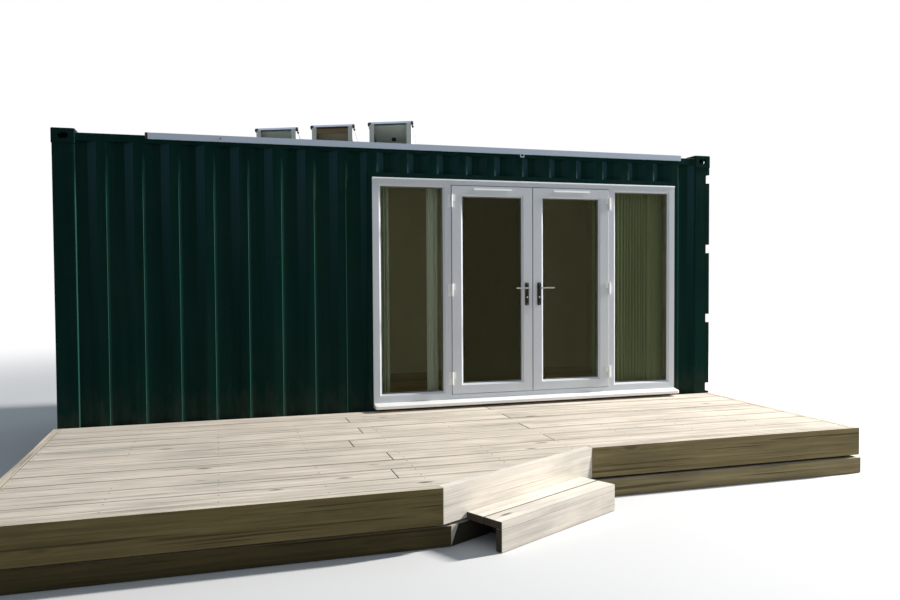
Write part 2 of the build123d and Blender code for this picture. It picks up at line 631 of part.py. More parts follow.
STOP_BACK = FRAME_FRONT + FRAME_DEPTH
STOP_FRONT = STOP_BACK - STOP_DEPTH
SIDELIGHTS = ((OPEN_LEFT, DOORWAY_LEFT), (DOORWAY_RIGHT, OPEN_RIGHT))


def sidelight_frames():
    """The fixed lights' frames, with the doorway's stops along their inner posts."""
    with BuildPart() as frames:
        for (left, right), stop in zip(SIDELIGHTS, (DOORWAY_LEFT, DOORWAY_RIGHT - STOP_REACH)):
            add(glazed_ring(left, right, OPEN_BOTTOM, OPEN_TOP, FRAME_FRONT, FRAME_DEPTH, FRAME_FACE,
                            FRAME_FACE))
            with Locations((stop, STOP_FRONT, DOORWAY_BOTTOM)):
                Box(STOP_REACH, STOP_DEPTH, DOORWAY_TOP - DOORWAY_BOTTOM,
                    align=(Align.MIN, Align.MIN, Align.MIN))
    return frames.part


def doorway_rails():
    """The rails across the doorway's head and foot, with their stops and the drip over the set."""
    with BuildPart() as rails:
        with BuildSketch(end_plane(OPEN_LEFT, FRAME_FRONT, OPEN_TOP - DRIP)):
            with BuildLine():
                Polyline((0, DRIP), (-DRIP, 0), (-DRIP, -DRIP_EDGE), (0, -DRIP_EDGE), close=True)
            make_face()
        extrude(amount=OPENING_WIDTH)
        for low, high, stop in ((DOORWAY_TOP, OPEN_TOP, DOORWAY_TOP - STOP_REACH),
                                (OPEN_BOTTOM, DOORWAY_BOTTOM, DOORWAY_BOTTOM)):
            with Locations((DOOR_CENTRE, FRAME_FRONT, low)):
                Box(DOORWAY_WIDTH, FRAME_DEPTH, high - low, align=(Align.CENTER, Align.MIN, Align.MIN))
            with Locations((DOOR_CENTRE, STOP_FRONT, stop)):
                Box(DOORWAY_WIDTH - 2 * STOP_REACH, STOP_DEPTH, STOP_REACH,
                    align=(Align.CENTER, Align.MIN, Align.MIN))
    return rails.part


def door_sill():
    """The sloping sill under the whole door set, with a nosing and bevelled ends."""
    top, nose = OPEN_BOTTOM, FRAME_FRONT - SILL_PROJECTION
    with BuildPart() as sill:
        with BuildSketch(end_plane(OPEN_LEFT, 0, 0)):
            with BuildLine():
                Polyline((nose, THRESHOLD_TOP), (nose, THRESHOLD_TOP + SILL_NOSE), (FRAME_FRONT, top),
                         (STOP_BACK, top), (STOP_BACK, THRESHOLD_TOP), close=True)
            make_face()
        extrude(amount=OPENING_WIDTH)
        chamfer(sill.edges().filter_by(Axis.Z).group_by(Axis.Y)[0], SILL_NOSE / 2)
        fillet(sill.edges().filter_by(Axis.X).group_by(Axis.Y)[0], SILL_NOSE / 6)
    return sill.part


save(sidelight_frames(), "sidelight_frames")
save(boxes(*[pane_corners(left, right, OPEN_BOTTOM, OPEN_TOP, FRAME_FRONT, FRAME_FACE, FRAME_FACE)
             for left, right in SIDELIGHTS]), "sidelight_glass")
save(doorway_rails(), "doorway_rails")
save(door_sill(), "door_sill")

# Leaves: the left one is modelled, and the right one is its mirror image
HINGE_X = DOORWAY_LEFT + LEAF_GAP / 2
LEAF_LEFT = DOORWAY_LEFT + LEAF_GAP
LEAF_RIGHT = LEAF_LEFT + LEAF_WIDTH
LEAF_BACK = LEAF_FRONT + LEAF_DEPTH
LEVER_X = LEAF_RIGHT - LEVER_INSET
LEVER_Z = FLOOR_TOP + LEVER_ABOVE_FLOOR
MEETING_PLANE = Plane.YZ.offset(DOOR_CENTRE)


def leaf_frame():
    """A leaf's welded frame: bevelled, eased at its meeting edge, bored for the spindle."""
    with BuildPart() as leaf:
        add(glazed_ring(LEAF_LEFT, LEAF_RIGHT, LEAF_BOTTOM, LEAF_TOP, LEAF_FRONT, LEAF_DEPTH, LEAF_STILE,
                        LEAF_RAIL))
        meeting = leaf.edges().filter_by(Axis.Z).group_by(Axis.X)[-1].sort_by(Axis.Y)[-1]
        chamfer(meeting, LEAF_EDGE_CUT)
        front = leaf.faces().sort_by(Axis.Y)[0].outer_wire().edges()
        chamfer(front, LEAF_EDGE_CUT / 2)
        with BuildSketch(front_plane(LEVER_X, LEAF_FRONT, LEVER_Z)):
            Circle(LEVER_RADIUS)
        extrude(amount=-LEAF_DEPTH, mode=Mode.SUBTRACT)
    return leaf.part


HINGE_LOW, HINGE_HIGH = LEAF_BOTTOM + HINGE_FROM_BOTTOM, LEAF_TOP - HINGE_FROM_TOP
HINGE_LEVELS = (HINGE_LOW, (HINGE_LOW + HINGE_HIGH) / 2, HINGE_HIGH)


def frame_hinges():
    """The fixed halves: a plate on the frame, an arm, the lower knuckle and its pin."""
    half = HINGE_HEIGHT / 2
    with BuildPart() as hinges:
        for level in HINGE_LEVELS:
            with Locations((HINGE_X - HINGE_KNUCKLE, FRAME_FRONT, level)):
                Box(HINGE_PLATE_WIDTH - HINGE_KNUCKLE, HINGE_PLATE, HINGE_HEIGHT,
                    align=(Align.MAX, Align.MAX, Align.CENTER))
            with Locations((HINGE_X - HINGE_KNUCKLE, FRAME_FRONT, level - HINGE_FIT)):
                Box(HINGE_KNUCKLE, FRAME_FRONT - HINGE_Y, half - HINGE_FIT, align=(Align.MIN, Align.MAX, Align.MAX))
            with Locations((HINGE_X, HINGE_Y, level - HINGE_FIT)):
                Cylinder(HINGE_KNUCKLE, half - HINGE_FIT, align=(Align.CENTER, Align.CENTER, Align.MAX))
                Cylinder(HINGE_PIN, half, align=(Align.CENTER, Align.CENTER, Align.MIN))
        mirror(about=MEETING_PLANE)
    return hinges.part


def leaf_hinges():
    """The moving halves on one leaf, a plate and the bored upper knuckle, and the slim vent."""
    half = HINGE_HEIGHT / 2
    with BuildPart() as fittings:
        for level in HINGE_LEVELS:
            with Locations((HINGE_X, HINGE_Y, level + HINGE_FIT)):
                Cylinder(HINGE_KNUCKLE, half - HINGE_FIT, align=(Align.CENTER, Align.CENTER, Align.MIN))
            with Locations((HINGE_X, LEAF_FRONT, level + HINGE_FIT)):
                Box(HINGE_PLATE_WIDTH, HINGE_PLATE, half - HINGE_FIT, align=(Align.MIN, Align.MAX, Align.MIN))
            with Locations((HINGE_X, HINGE_Y, level + HINGE_FIT)):
                Cylinder(HINGE_PIN + HINGE_FIT, half - HINGE_FIT, align=(Align.CENTER, Align.CENTER, Align.MIN),
                         mode=Mode.SUBTRACT)
        with Locations(((LEAF_LEFT + LEAF_RIGHT) / 2, LEAF_FRONT, LEAF_TOP - VENT_FROM_TOP)):
            Box(VENT_LENGTH, VENT_DEPTH, VENT_HEIGHT, align=(Align.CENTER, Align.MAX, Align.CENTER))
        vent_face = fittings.faces().filter_by(Axis.Y).sort_by(SortBy.AREA)[-1]
        chamfer(vent_face.edges(), VENT_DEPTH / 3)
    return fittings.part


def lever_plates():
    """The long back plates outside and inside, each with its lock cylinder's end."""
    centre = LEVER_Z + PLATE_ABOVE_LEVER - PLATE_HEIGHT / 2
    with BuildPart() as plates:
        for face, outward in ((LEAF_FRONT, 1), (LEAF_BACK, -1)):
            with BuildSketch(front_plane(LEVER_X, face, centre)):
                RectangleRounded(PLATE_WIDTH, PLATE_HEIGHT, PLATE_WIDTH / 3)
                with Locations((0, LEVER_Z - centre)):
                    Circle(SPINDLE_RADIUS + HINGE_FIT, mode=Mode.SUBTRACT)
            extrude(amount=outward * PLATE_DEPTH)
            with BuildSketch(front_plane(LEVER_X, face, LEVER_Z - CYLINDER_BELOW_LEVER)):
                SlotOverall(LEVER_RADIUS * 4, LEVER_RADIUS * 1.6, rotation=90)
            extrude(amount=outward * (PLATE_DEPTH + HINGE_PLATE))
    return plates.part


def lever_handle():
    """One round lever bent through a right angle on each end of a spindle."""
    with BuildPart() as lever:
        for face, outward in ((LEAF_FRONT - PLATE_DEPTH, -1), (LEAF_BACK + PLATE_DEPTH, 1)):
            root = face + outward * HINGE_FIT
            reach = face + outward * LEVER_REACH
            with BuildLine() as path:
                FilletPolyline((LEVER_X, root, LEVER_Z), (LEVER_X, reach, LEVER_Z),
                               (LEVER_X - LEVER_LENGTH, reach, LEVER_Z), radius=LEVER_RADIUS * 1.8)
            with BuildSketch(Plane(path.line @ 0, z_dir=path.line % 0)):
                Circle(LEVER_RADIUS)
            sweep(path=path.line)
        with Locations((LEVER_X, (LEAF_FRONT + LEAF_BACK) / 2, LEVER_Z)):
            Cylinder(SPINDLE_RADIUS, LEAF_DEPTH + 2 * (PLATE_DEPTH + HINGE_FIT), rotation=(90, 0, 0))
    return lever.part


def mirrored(part):
    """The matching piece of the other leaf."""
    return mirror(part, about=MEETING_PLANE)


LEAF_PIECES = {
    "leaf_frame": leaf_frame(),
    "leaf_glass": boxes(pane_corners(LEAF_LEFT, LEAF_RIGHT, LEAF_BOTTOM, LEAF_TOP, LEAF_FRONT, LEAF_STILE,
                                     LEAF_RAIL)),
    "leaf_hinges": leaf_hinges(),
    "lever_plates": lever_plates(),
    "lever_handle": lever_handle(),
}
for piece_name, piece in LEAF_PIECES.items():
    save(piece, f"left_{piece_name}")
    save(mirrored(piece), f"right_{piece_name}")
save(frame_hinges(), "frame_hinges")


# Roof edge trim and solar panels
def roof_edge_trim():
    """A white capping along the front edge of the roof."""
    with BuildPart() as trim:
        with BuildSketch(end_plane(LEFT + TRIM_FROM_LEFT, FRONT + SETBACK, ROOF_TOP)):
            Rectangle(TRIM_DEPTH, TRIM_HEIGHT, align=(Align.MAX, Align.MAX))
            with Locations((-TRIM_DEPTH, 0)):
                Rectangle(TRIM_DEPTH + TRIM_TOP, TRIM_SHEET, align=(Align.MIN, Align.MIN))
        extrude(amount=LENGTH - TRIM_FROM_LEFT - TRIM_FROM_RIGHT)
    return trim.part


def panel_planes():
    """The upright plane of each solar panel: at the roof, turned, facing the front."""
    turn, row = math.radians(PANEL_TURN), math.radians(PANEL_ROW_TURN)
    along = (math.cos(turn), math.sin(turn), 0)
    planes = []
    for step in (-1, 0, 1):
        x = LEFT + PANEL_ROW_CENTRE[0] + step * PANEL_PITCH * math.cos(row)
        y = FRONT + PANEL_ROW_CENTRE[1] + step * PANEL_PITCH * math.sin(row)
        planes.append(Plane((x, y, ROOF_TOP), x_dir=along, z_dir=(0, 0, 1)))
    return planes


PANEL_RISE = PANEL_LENGTH * math.sin(math.radians(PANEL_TILT))
PANEL_RUN = PANEL_LENGTH * math.cos(math.radians(PANEL_TILT))
PANEL_LIFT = PANEL_DEPTH * math.cos(math.radians(PANEL_TILT))


def tilted(plane):
    """The plane of a panel's underside: its Y climbs to the panel's upper edge."""
    foot = plane.location * Location((0, PANEL_RUN, 0))
    slope = math.radians(PANEL_TILT)
    normal = plane.y_dir * math.sin(slope) + plane.z_dir * math.cos(slope)
    return Plane(foot.position, x_dir=-plane.x_dir, z_dir=normal)


def solar_panel_frames():
    """The three panels' aluminium rims."""
    with BuildPart() as frames:
        for plane in panel_planes():
            with BuildSketch(tilted(plane)):
                Rectangle(PANEL_WIDTH, PANEL_LENGTH, align=(Align.CENTER, Align.MIN))
                with Locations((0, PANEL_RIM)):
                    Rectangle(PANEL_WIDTH - 2 * PANEL_RIM, PANEL_LENGTH - 2 * PANEL_RIM,
                              align=(Align.CENTER, Align.MIN), mode=Mode.SUBTRACT)
            extrude(amount=PANEL_DEPTH)
    return frames.part


def solar_panel_cells():
    """The glazed cell sheets inside the rims."""
    with BuildPart() as cells:
        for plane in panel_planes():
            with BuildSketch(tilted(plane).offset(PANEL_DEPTH / 2)):
                with Locations((0, PANEL_RIM)):
                    Rectangle(PANEL_WIDTH - 2 * PANEL_RIM, PANEL_LENGTH - 2 * PANEL_RIM,
                              align=(Align.CENTER, Align.MIN))
            extrude(amount=PANEL_DEPTH / 2 - SHEET)
    return cells.part


def solar_panel_stands():
    """A folded side plate at each end of a panel: a triangle, and a flange along its upright edge."""
    under = [(PANEL_RUN - STAND_TOE, STAND_TOE * PANEL_RISE / PANEL_RUN), (0, PANEL_RISE)]
    with BuildPart() as stands:
        for plane in panel_planes():
            for place, inward in ((-PANEL_WIDTH / 2, 1), (PANEL_WIDTH / 2, -1)):
                origin = (plane.location * Location((place, 0, 0))).position
                with BuildSketch(Plane(origin, x_dir=plane.y_dir, z_dir=plane.x_dir)):
                    with BuildLine():
                        Polyline((0, 0), (PANEL_RUN - STAND_TOE, 0), *under, close=True)
                    make_face()
                extrude(amount=inward * STAND_SHEET)
                with BuildSketch(Plane(origin, x_dir=plane.y_dir, z_dir=plane.x_dir)):
                    with BuildLine():
                        Polyline((0, 0), (STAND_SHEET, 0),
                                 (STAND_SHEET, PANEL_RISE - STAND_SHEET * PANEL_RISE / PANEL_RUN),
                                 (0, PANEL_RISE), close=True)
                    make_face()
                extrude(amount=inward * STAND_FLANGE)
    return stands.part


def roof_timber():
    """The wooden surround behind the middle panel's flanges, and a block in front of the right one."""
    middle, right = panel_planes()[1:]
    tall = PANEL_RISE - (STAND_SHEET + SURROUND_DEPTH) * PANEL_RISE / PANEL_RUN
    wide = PANEL_WIDTH - 2 * (STAND_SHEET + TIMBER_GAP)
    near = (middle.location * Location((0, STAND_SHEET, 0))).position
    with BuildPart() as timber:
        with BuildSketch(Plane(near, x_dir=middle.x_dir, z_dir=-middle.y_dir)):
            Rectangle(wide, tall, align=(Align.CENTER, Align.MIN))
            with Locations((0, SURROUND_BOARD / 2)):
                Rectangle(wide - 2 * SURROUND_BOARD, tall - 1.5 * SURROUND_BOARD,
                          align=(Align.CENTER, Align.MIN), mode=Mode.SUBTRACT)
        extrude(amount=-SURROUND_DEPTH)
        with Locations(right.location * Location((-PANEL_WIDTH / 8, -BLOCK_WIDTH, 0), (0, 0, -PANEL_TURN))):
            Box(BLOCK_LENGTH, BLOCK_WIDTH, BLOCK_HEIGHT, align=(Align.CENTER, Align.CENTER, Align.MIN))
    return timber.part


save(roof_edge_trim(), "roof_edge_trim")
save(solar_panel_frames(), "solar_panel_frames")
save(solar_panel_cells(), "solar_panel_cells")
save(solar_panel_stands(), "solar_panel_stands")
save(roof_timber(), "roof_timber")

# Deck outline, from the wall round by the left-hand front corner
DECK_LEFT, DECK_RIGHT = LEFT - DECK_LEFT_OVERHANG, RIGHT
DECK_FRONT, DECK_SHORT_FRONT = FRONT - DECK_DEPTH, FRONT - DECK_SHORT_DEPTH
CUT_LEFT, CUT_RIGHT = LEFT + DECK_CUT_START, LEFT + DECK_CUT_END
DECK_CORNERS = [(DECK_LEFT, FRONT), (DECK_LEFT, DECK_FRONT), (CUT_LEFT, DECK_FRONT),
                (CUT_RIGHT, DECK_SHORT_FRONT), (DECK_RIGHT, DECK_SHORT_FRONT), (DECK_RIGHT, FRONT)]
FREE_SIDES = range(len(DECK_CORNERS) - 1)
DECK_UNDER = DECK_TOP - DECK_BOARD


def outward(a, b):
    """The unit normal of an outline's side, pointing out of the deck."""
    long = math.dist(a, b)
    return ((b[1] - a[1]) / long, (a[0] - b[0]) / long)


def inset_corners(*distances):
    """The deck's corners moved in, each free side by its own distance, square to the side."""
    moved = []
    for i, corner in enumerate(DECK_CORNERS):
        before = outward(DECK_CORNERS[i - 1], corner) if i else None
        after = outward(corner, DECK_CORNERS[i + 1]) if i + 1 < len(DECK_CORNERS) else None
        if before is None or after is None:
            side, distance = after or before, distances[0] if after else distances[-1]
            moved.append((corner[0] - distance * side[0], corner[1] - distance * side[1]))
            continue
        one, other = distances[i - 1], distances[i]
        turn = before[0] * after[0] + before[1] * after[1]
        back, on = (one - turn * other) / (1 - turn ** 2), (other - turn * one) / (1 - turn ** 2)
        moved.append((corner[0] - back * before[0] - on * after[0],
                      corner[1] - back * before[1] - on * after[1]))
    return moved


def deck_boards():
    """The deck's surface inside its edge boards."""
    with BuildPart() as boards:
        with BuildSketch(Plane.XY.offset(DECK_UNDER)):
            with BuildLine():
                Polyline(*inset_corners(*[FASCIA_THICKNESS] * len(FREE_SIDES)), close=True)
            make_face()
        extrude(amount=DECK_BOARD)
    return boards.part


def edge_board(side, recesses, thickness, low, high):
    """One mitred board along a side of the deck, a hair short of its neighbours."""
    outer, inner = inset_corners(*recesses), inset_corners(*[recess + thickness for recess in recesses])
    a, b = outer[side], outer[side + 1]
    long = math.dist(a, b)
    hair = ((b[0] - a[0]) / long * TIMBER_GAP / 2, (b[1] - a[1]) / long * TIMBER_GAP / 2)
    c, d = inner[side + 1], inner[side]
    with BuildPart() as board:
        with BuildSketch(Plane.XY.offset(low)):
            with BuildLine():
                Polyline((a[0] + hair[0], a[1] + hair[1]), (b[0] - hair[0], b[1] - hair[1]),
                         (c[0] - hair[0], c[1] - hair[1]), (d[0] + hair[0], d[1] + hair[1]), close=True)
            make_face()
        extrude(amount=high - low)
    return board.part


def deck_front_at(x):
    """How far the deck reaches at a place along it."""
    if x <= CUT_LEFT:
        return DECK_FRONT
    if x >= CUT_RIGHT:
        return DECK_SHORT_FRONT
    return DECK_FRONT + (x - CUT_LEFT) / (CUT_RIGHT - CUT_LEFT) * (DECK_SHORT_FRONT - DECK_FRONT)


def deck_joists():
    """Joists from the ledger on the container out to the edge boards."""
    inset = FASCIA_THICKNESS / math.cos(math.atan2(DECK_SHORT_FRONT - DECK_FRONT, CUT_RIGHT - CUT_LEFT))
    first, last = DECK_LEFT + FASCIA_THICKNESS, DECK_RIGHT - FASCIA_THICKNESS - JOIST_WIDTH
    bays = math.ceil((last - first) / JOIST_PITCH)
    with BuildPart() as joists:
        for i in range(bays + 1):
            x = first + (last - first) * i / bays
            reach = max(deck_front_at(x), deck_front_at(x + JOIST_WIDTH)) + inset
            with Locations((x, FRONT - JOIST_WIDTH, SKIRT_HEIGHT)):
                Box(JOIST_WIDTH, FRONT - JOIST_WIDTH - reach, DECK_UNDER - SKIRT_HEIGHT,
                    align=(Align.MIN, Align.MAX, Align.MIN))
    return joists.part


save(deck_boards(), "deck_boards")
save(deck_joists(), "deck_joists")
save(boxes(((DECK_LEFT + FASCIA_THICKNESS, FRONT - JOIST_WIDTH, SKIRT_HEIGHT),
            (DECK_RIGHT - FASCIA_THICKNESS, FRONT, DECK_UNDER))), "deck_ledger")
FASCIA_LOW = DECK_TOP - FASCIA_DEPTH
# From the left side round to the right: only the long front and the left side stand back
SKIRT_RECESSES = (SKIRT_RECESS, SKIRT_RECESS, 0, -SKIRT_PROUD, 0)
with BuildPart() as deck_fascia:
    for free_side in FREE_SIDES:
        add(edge_board(free_side, [0] * len(FREE_SIDES), FASCIA_THICKNESS, FASCIA_LOW, DECK_TOP))
save(deck_fascia.part, "deck_fascia")
with BuildPart() as deck_skirt:
    for free_side in FREE_SIDES:
        add(edge_board(free_side, SKIRT_RECESSES, FASCIA_THICKNESS, 0, SKIRT_HEIGHT))
    with Locations((0, FRONT, 0)):
        Box(LENGTH - 4 * FASCIA_THICKNESS, FASCIA_THICKNESS * 2, SKIRT_HEIGHT,
            align=(Align.CENTER, Align.MAX, Align.MIN))
save(deck_skirt.part, "deck_skirt")


# Step in front of the deck's cut corner
def step_plane(height):
    """A level plane with its X along the cut corner, from the cut's left-hand end."""
    along = (CUT_RIGHT - CUT_LEFT, DECK_SHORT_FRONT - DECK_FRONT, 0)
    return Plane((CUT_LEFT, DECK_FRONT, height), x_dir=along, z_dir=(0, 0, 1))


def step_treads():
    """Two thick boards side by side."""
    wide = (STEP_DEPTH - STEP_TREAD_GAP) / 2
    with BuildPart() as treads:
        with BuildSketch(step_plane(STEP_TOP - STEP_TREAD)):
            for near in (0, -wide - STEP_TREAD_GAP):
                with Locations((STEP_START, near)):
                    Rectangle(STEP_END - STEP_START, wide, align=(Align.MIN, Align.MAX))
        extrude(amount=STEP_TREAD)
    return treads.part


def step_box():
    """The riser board and two inset end boards that carry the treads."""
    with BuildPart() as sides:
        with BuildSketch(step_plane(0)):
            with Locations((STEP_START, -STEP_DEPTH)):
                Rectangle(STEP_END - STEP_START, STEP_BOARD, align=(Align.MIN, Align.MIN))
            for place in (STEP_START + STEP_END_INSET, STEP_END - STEP_END_INSET - STEP_BOARD):
                with Locations((place, 0)):
                    Rectangle(STEP_BOARD, STEP_DEPTH - STEP_BOARD - TIMBER_GAP, align=(Align.MIN, Align.MAX))
        extrude(amount=STEP_TOP - STEP_TREAD)
    return sides.part


save(step_treads(), "step_treads")
save(step_box(), "step_box")


# Curtains at the sidelights
CURTAIN_FRONT = FRONT + ROOM + CURTAIN_OFF_WALL
CURTAIN_RAIL_Z = OPEN_TOP + OPENING_STEEL
CURTAIN_SPANS = (
    (OPEN_LEFT + CURTAIN_SIDE, OPEN_LEFT + CURTAIN_SIDE + CURTAIN_NARROW),
    (DOORWAY_LEFT - CURTAIN_SIDE - CURTAIN_NARROW, DOORWAY_LEFT - CURTAIN_SIDE),
    (OPEN_RIGHT - CURTAIN_SIDE - CURTAIN_WIDE, OPEN_RIGHT - CURTAIN_SIDE),
)


def curtains():
    """Gathered curtains as plain solids, each hung from the rail."""
    top = CURTAIN_RAIL_Z - CURTAIN_RAIL_RADIUS - HINGE_FIT
    with BuildPart() as cloths:
        for start, end in CURTAIN_SPANS:
            with Locations((start, CURTAIN_FRONT, top)):
                Box(end - start, CURTAIN_DEPTH, top - FLOOR_TOP - CURTAIN_ABOVE_FLOOR,
                    align=(Align.MIN, Align.MIN, Align.MAX))
    return cloths.part


def curtain_rail():
    """A round rail on brackets over the door set."""
    with BuildPart() as rail:
        with Locations((DOOR_CENTRE, CURTAIN_FRONT + CURTAIN_DEPTH / 2, CURTAIN_RAIL_Z)):
            Cylinder(CURTAIN_RAIL_RADIUS, OPENING_WIDTH, rotation=(0, 90, 0))
        for place in (-1, 0, 1):
            with Locations((DOOR_CENTRE + place * OPENING_WIDTH * 0.47, FRONT + ROOM, CURTAIN_RAIL_Z)):
                Box(CURTAIN_RAIL_RADIUS, CURTAIN_OFF_WALL + CURTAIN_DEPTH / 2, CURTAIN_RAIL_RADIUS,
                    align=(Align.CENTER, Align.MIN, Align.CENTER))
    return rail.part


save(curtains(), "curtains")
save(curtain_rail(), "curtain_rail")
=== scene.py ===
"""Looks of the shipping container cabin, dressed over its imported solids.

Metres, X along the container, front towards -Y, Z up, as in the frame.
"""

import json
import math
import random

import bmesh
import bpy
from mathutils import Matrix, Vector

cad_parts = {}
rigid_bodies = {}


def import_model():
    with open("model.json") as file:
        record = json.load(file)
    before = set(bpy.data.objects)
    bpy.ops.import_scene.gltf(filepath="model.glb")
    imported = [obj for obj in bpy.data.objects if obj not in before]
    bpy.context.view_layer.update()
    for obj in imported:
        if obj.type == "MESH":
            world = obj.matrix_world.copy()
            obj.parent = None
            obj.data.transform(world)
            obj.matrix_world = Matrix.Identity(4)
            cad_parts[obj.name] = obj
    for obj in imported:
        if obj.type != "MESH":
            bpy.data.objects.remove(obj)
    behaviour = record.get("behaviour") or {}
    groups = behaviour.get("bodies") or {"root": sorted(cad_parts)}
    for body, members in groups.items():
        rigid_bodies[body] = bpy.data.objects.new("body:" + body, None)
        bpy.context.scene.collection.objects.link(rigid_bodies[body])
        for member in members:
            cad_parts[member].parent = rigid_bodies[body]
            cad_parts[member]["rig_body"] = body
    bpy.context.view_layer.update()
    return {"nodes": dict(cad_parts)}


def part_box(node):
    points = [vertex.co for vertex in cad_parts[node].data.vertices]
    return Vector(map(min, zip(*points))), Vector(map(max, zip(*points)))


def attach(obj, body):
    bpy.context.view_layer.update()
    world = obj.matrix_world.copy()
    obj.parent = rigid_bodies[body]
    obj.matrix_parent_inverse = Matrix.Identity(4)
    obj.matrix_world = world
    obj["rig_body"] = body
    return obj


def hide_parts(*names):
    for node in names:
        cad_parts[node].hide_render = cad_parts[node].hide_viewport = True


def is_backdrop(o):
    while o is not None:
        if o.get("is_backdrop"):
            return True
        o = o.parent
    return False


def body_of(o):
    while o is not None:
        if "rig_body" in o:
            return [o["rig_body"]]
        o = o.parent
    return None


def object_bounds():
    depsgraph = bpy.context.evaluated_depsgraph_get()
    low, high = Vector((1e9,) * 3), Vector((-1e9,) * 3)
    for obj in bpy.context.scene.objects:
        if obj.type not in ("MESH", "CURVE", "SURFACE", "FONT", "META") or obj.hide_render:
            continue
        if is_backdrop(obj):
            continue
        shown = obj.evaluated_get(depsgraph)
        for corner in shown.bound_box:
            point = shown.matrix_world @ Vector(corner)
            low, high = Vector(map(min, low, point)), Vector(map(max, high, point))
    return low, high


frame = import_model()
NODES = frame["nodes"]
CABIN = "cabin"

# Camera, fitted to the photograph's corners
CAMERA_PLACE = (-1.76935, -7.87106, 1.54948)
CAMERA_YAW, CAMERA_PITCH, CAMERA_ROLL = -0.28099, -0.02991, 0.00616
CAMERA_LENS = 30.394
CAMERA_SHIFT = (0.01368, -0.00073)

# Solar units on the roof: a turned row of three, each with its foot line's middle
UNIT_WIDTH, UNIT_LENGTH, UNIT_DEPTH = 0.400, 0.440, 0.025
UNIT_TILT = math.radians(34.5)
UNIT_TURN = math.radians(-24.1)
UNIT_RIM = 0.022
ROW_TURN = math.radians(-29.2)
ROW_PITCH = 0.578
ROW_CENTRE = (-0.704, -0.579)
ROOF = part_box("roof_sheet")[1].z

# Deck: its rows of planks, where they are jointed, and how far planks stay inside their solid
DECK_ROWS = 11
DECK_GAP = 0.005
DECK_JOINTS = {0: 0.575, 1: -0.742, 2: 0.590, 3: -0.716, 4: 0.571, 5: -0.863, 6: 0.582, 7: -0.68, 9: -0.75}
PLANK_INSET, PLANK_DROP = 0.001, 0.0008

# Box step: its two directions, and how far past it its shade reaches on the skirt
STEP_ALONG = Vector((0.889, 0.457, 0))
STEP_FRONT = Vector((0.457, -0.889, 0))
SHADE_REACH = 0.13

# Room: the wide curtain hangs past its solid on the left and on the right
FLOOR_ROWS = 16
CURTAIN_FOLD = 0.042
WIDE_CURTAIN_PAST = (0.30, 0.065)

# Places of small pieces
CARGO_DOOR_FACE = 2.996
KEY_LEVEL = 1.351
SCREW_INSET = 0.012
TRIM_SCREW = (-1.734, 2.715)
TRIM_HOOK = ((0.961, 2.661), (1.001, 2.695))

# The share of a board's tone on its sawn ends, and the share of the wall folds' painted highlight on the
# posts
END_GRAIN = 0.45
POST_HIGHLIGHT = 0.30


# Modelling helpers
def only(obj):
    """Makes one object the selected and active one."""
    bpy.ops.object.select_all(action="DESELECT")
    obj.select_set(True)
    bpy.context.view_layer.objects.active = obj
    return obj


def settle(obj, matrix=None):
    """Puts the object's place, turn and scale into its mesh."""
    only(obj)
    if matrix is not None:
        obj.matrix_world = matrix @ obj.matrix_world
    bpy.ops.object.transform_apply(location=True, rotation=True, scale=True)
    return obj


def pick(obj, kind, test):
    """Enters edit mode with the vertices, edges or faces that pass the test selected."""
    only(obj)
    bpy.ops.object.mode_set(mode="EDIT")
    bpy.ops.mesh.select_mode(type=kind)
    bpy.ops.mesh.select_all(action="DESELECT")
    mesh = bmesh.from_edit_mesh(obj.data)
    for item in {"VERT": mesh.verts, "EDGE": mesh.edges, "FACE": mesh.faces}[kind]:
        item.select_set(test(item))
    mesh.select_flush_mode()
    bmesh.update_edit_mesh(obj.data)


def leave():
    """Back to object mode."""
    bpy.ops.object.mode_set(mode="OBJECT")


def facing(direction):
    """A test for faces that look one way."""
    goal = Vector(direction)
    return lambda face: face.normal.dot(goal) > 0.99


def along_axis(axis):
    """A test for edges that run along an axis."""
    def test(edge):
        run = edge.verts[1].co - edge.verts[0].co
        return run.length > 0 and abs(run[axis]) > 0.999 * run.length
    return test


def raise_face(obj, direction, rim, height):
    """Insets the face that looks one way and moves it out, or in for a height below zero."""
    pick(obj, "FACE", facing(direction))
    bpy.ops.mesh.inset(thickness=rim)
    bpy.ops.transform.translate(value=Vector(direction) * height)
    leave()
    return obj


def nudge(obj, move, test):
    """Moves the vertices that pass the test."""
    pick(obj, "VERT", test)
    bpy.ops.transform.translate(value=move)
    leave()


def slice_along(obj, place, normal, **ends):
    """Cuts every face where a plane meets it."""
    pick(obj, "VERT", lambda vert: True)
    bpy.ops.mesh.bisect(plane_co=place, plane_no=normal, **ends)
    leave()


def modify(obj, kind, **settings):
    """Adds a modifier and applies it."""
    only(obj)
    modifier = obj.modifiers.new(kind.title(), kind)
    for key, value in settings.items():
        setattr(modifier, key, value)
    bpy.ops.object.modifier_apply(modifier=modifier.name)
    return obj


def smooth(obj, angle=38):
    """Smooth shading between flat faces, which stay flat."""
    only(obj)
    bpy.ops.object.shade_smooth_by_angle(angle=math.radians(angle))
    return modify(obj, "WEIGHTED_NORMAL", keep_sharp=True)


def ease(obj, width, segments=2):
    """Rounds the sharp edges."""
    modify(obj, "BEVEL", width=width, segments=segments, limit_method="ANGLE",
           angle_limit=math.radians(35), miter_outer="MITER_ARC" if segments > 1 else "MITER_SHARP")
    return smooth(obj)


def block(low, high):
    """A box from its lowest to its highest corner, to be shaped further."""
    middle = [(a + b) / 2 for a, b in zip(low, high)]
    bpy.ops.mesh.primitive_cube_add(size=1, location=middle)
    obj = bpy.context.object
    obj.scale = [b - a for a, b in zip(low, high)]
    return settle(obj)


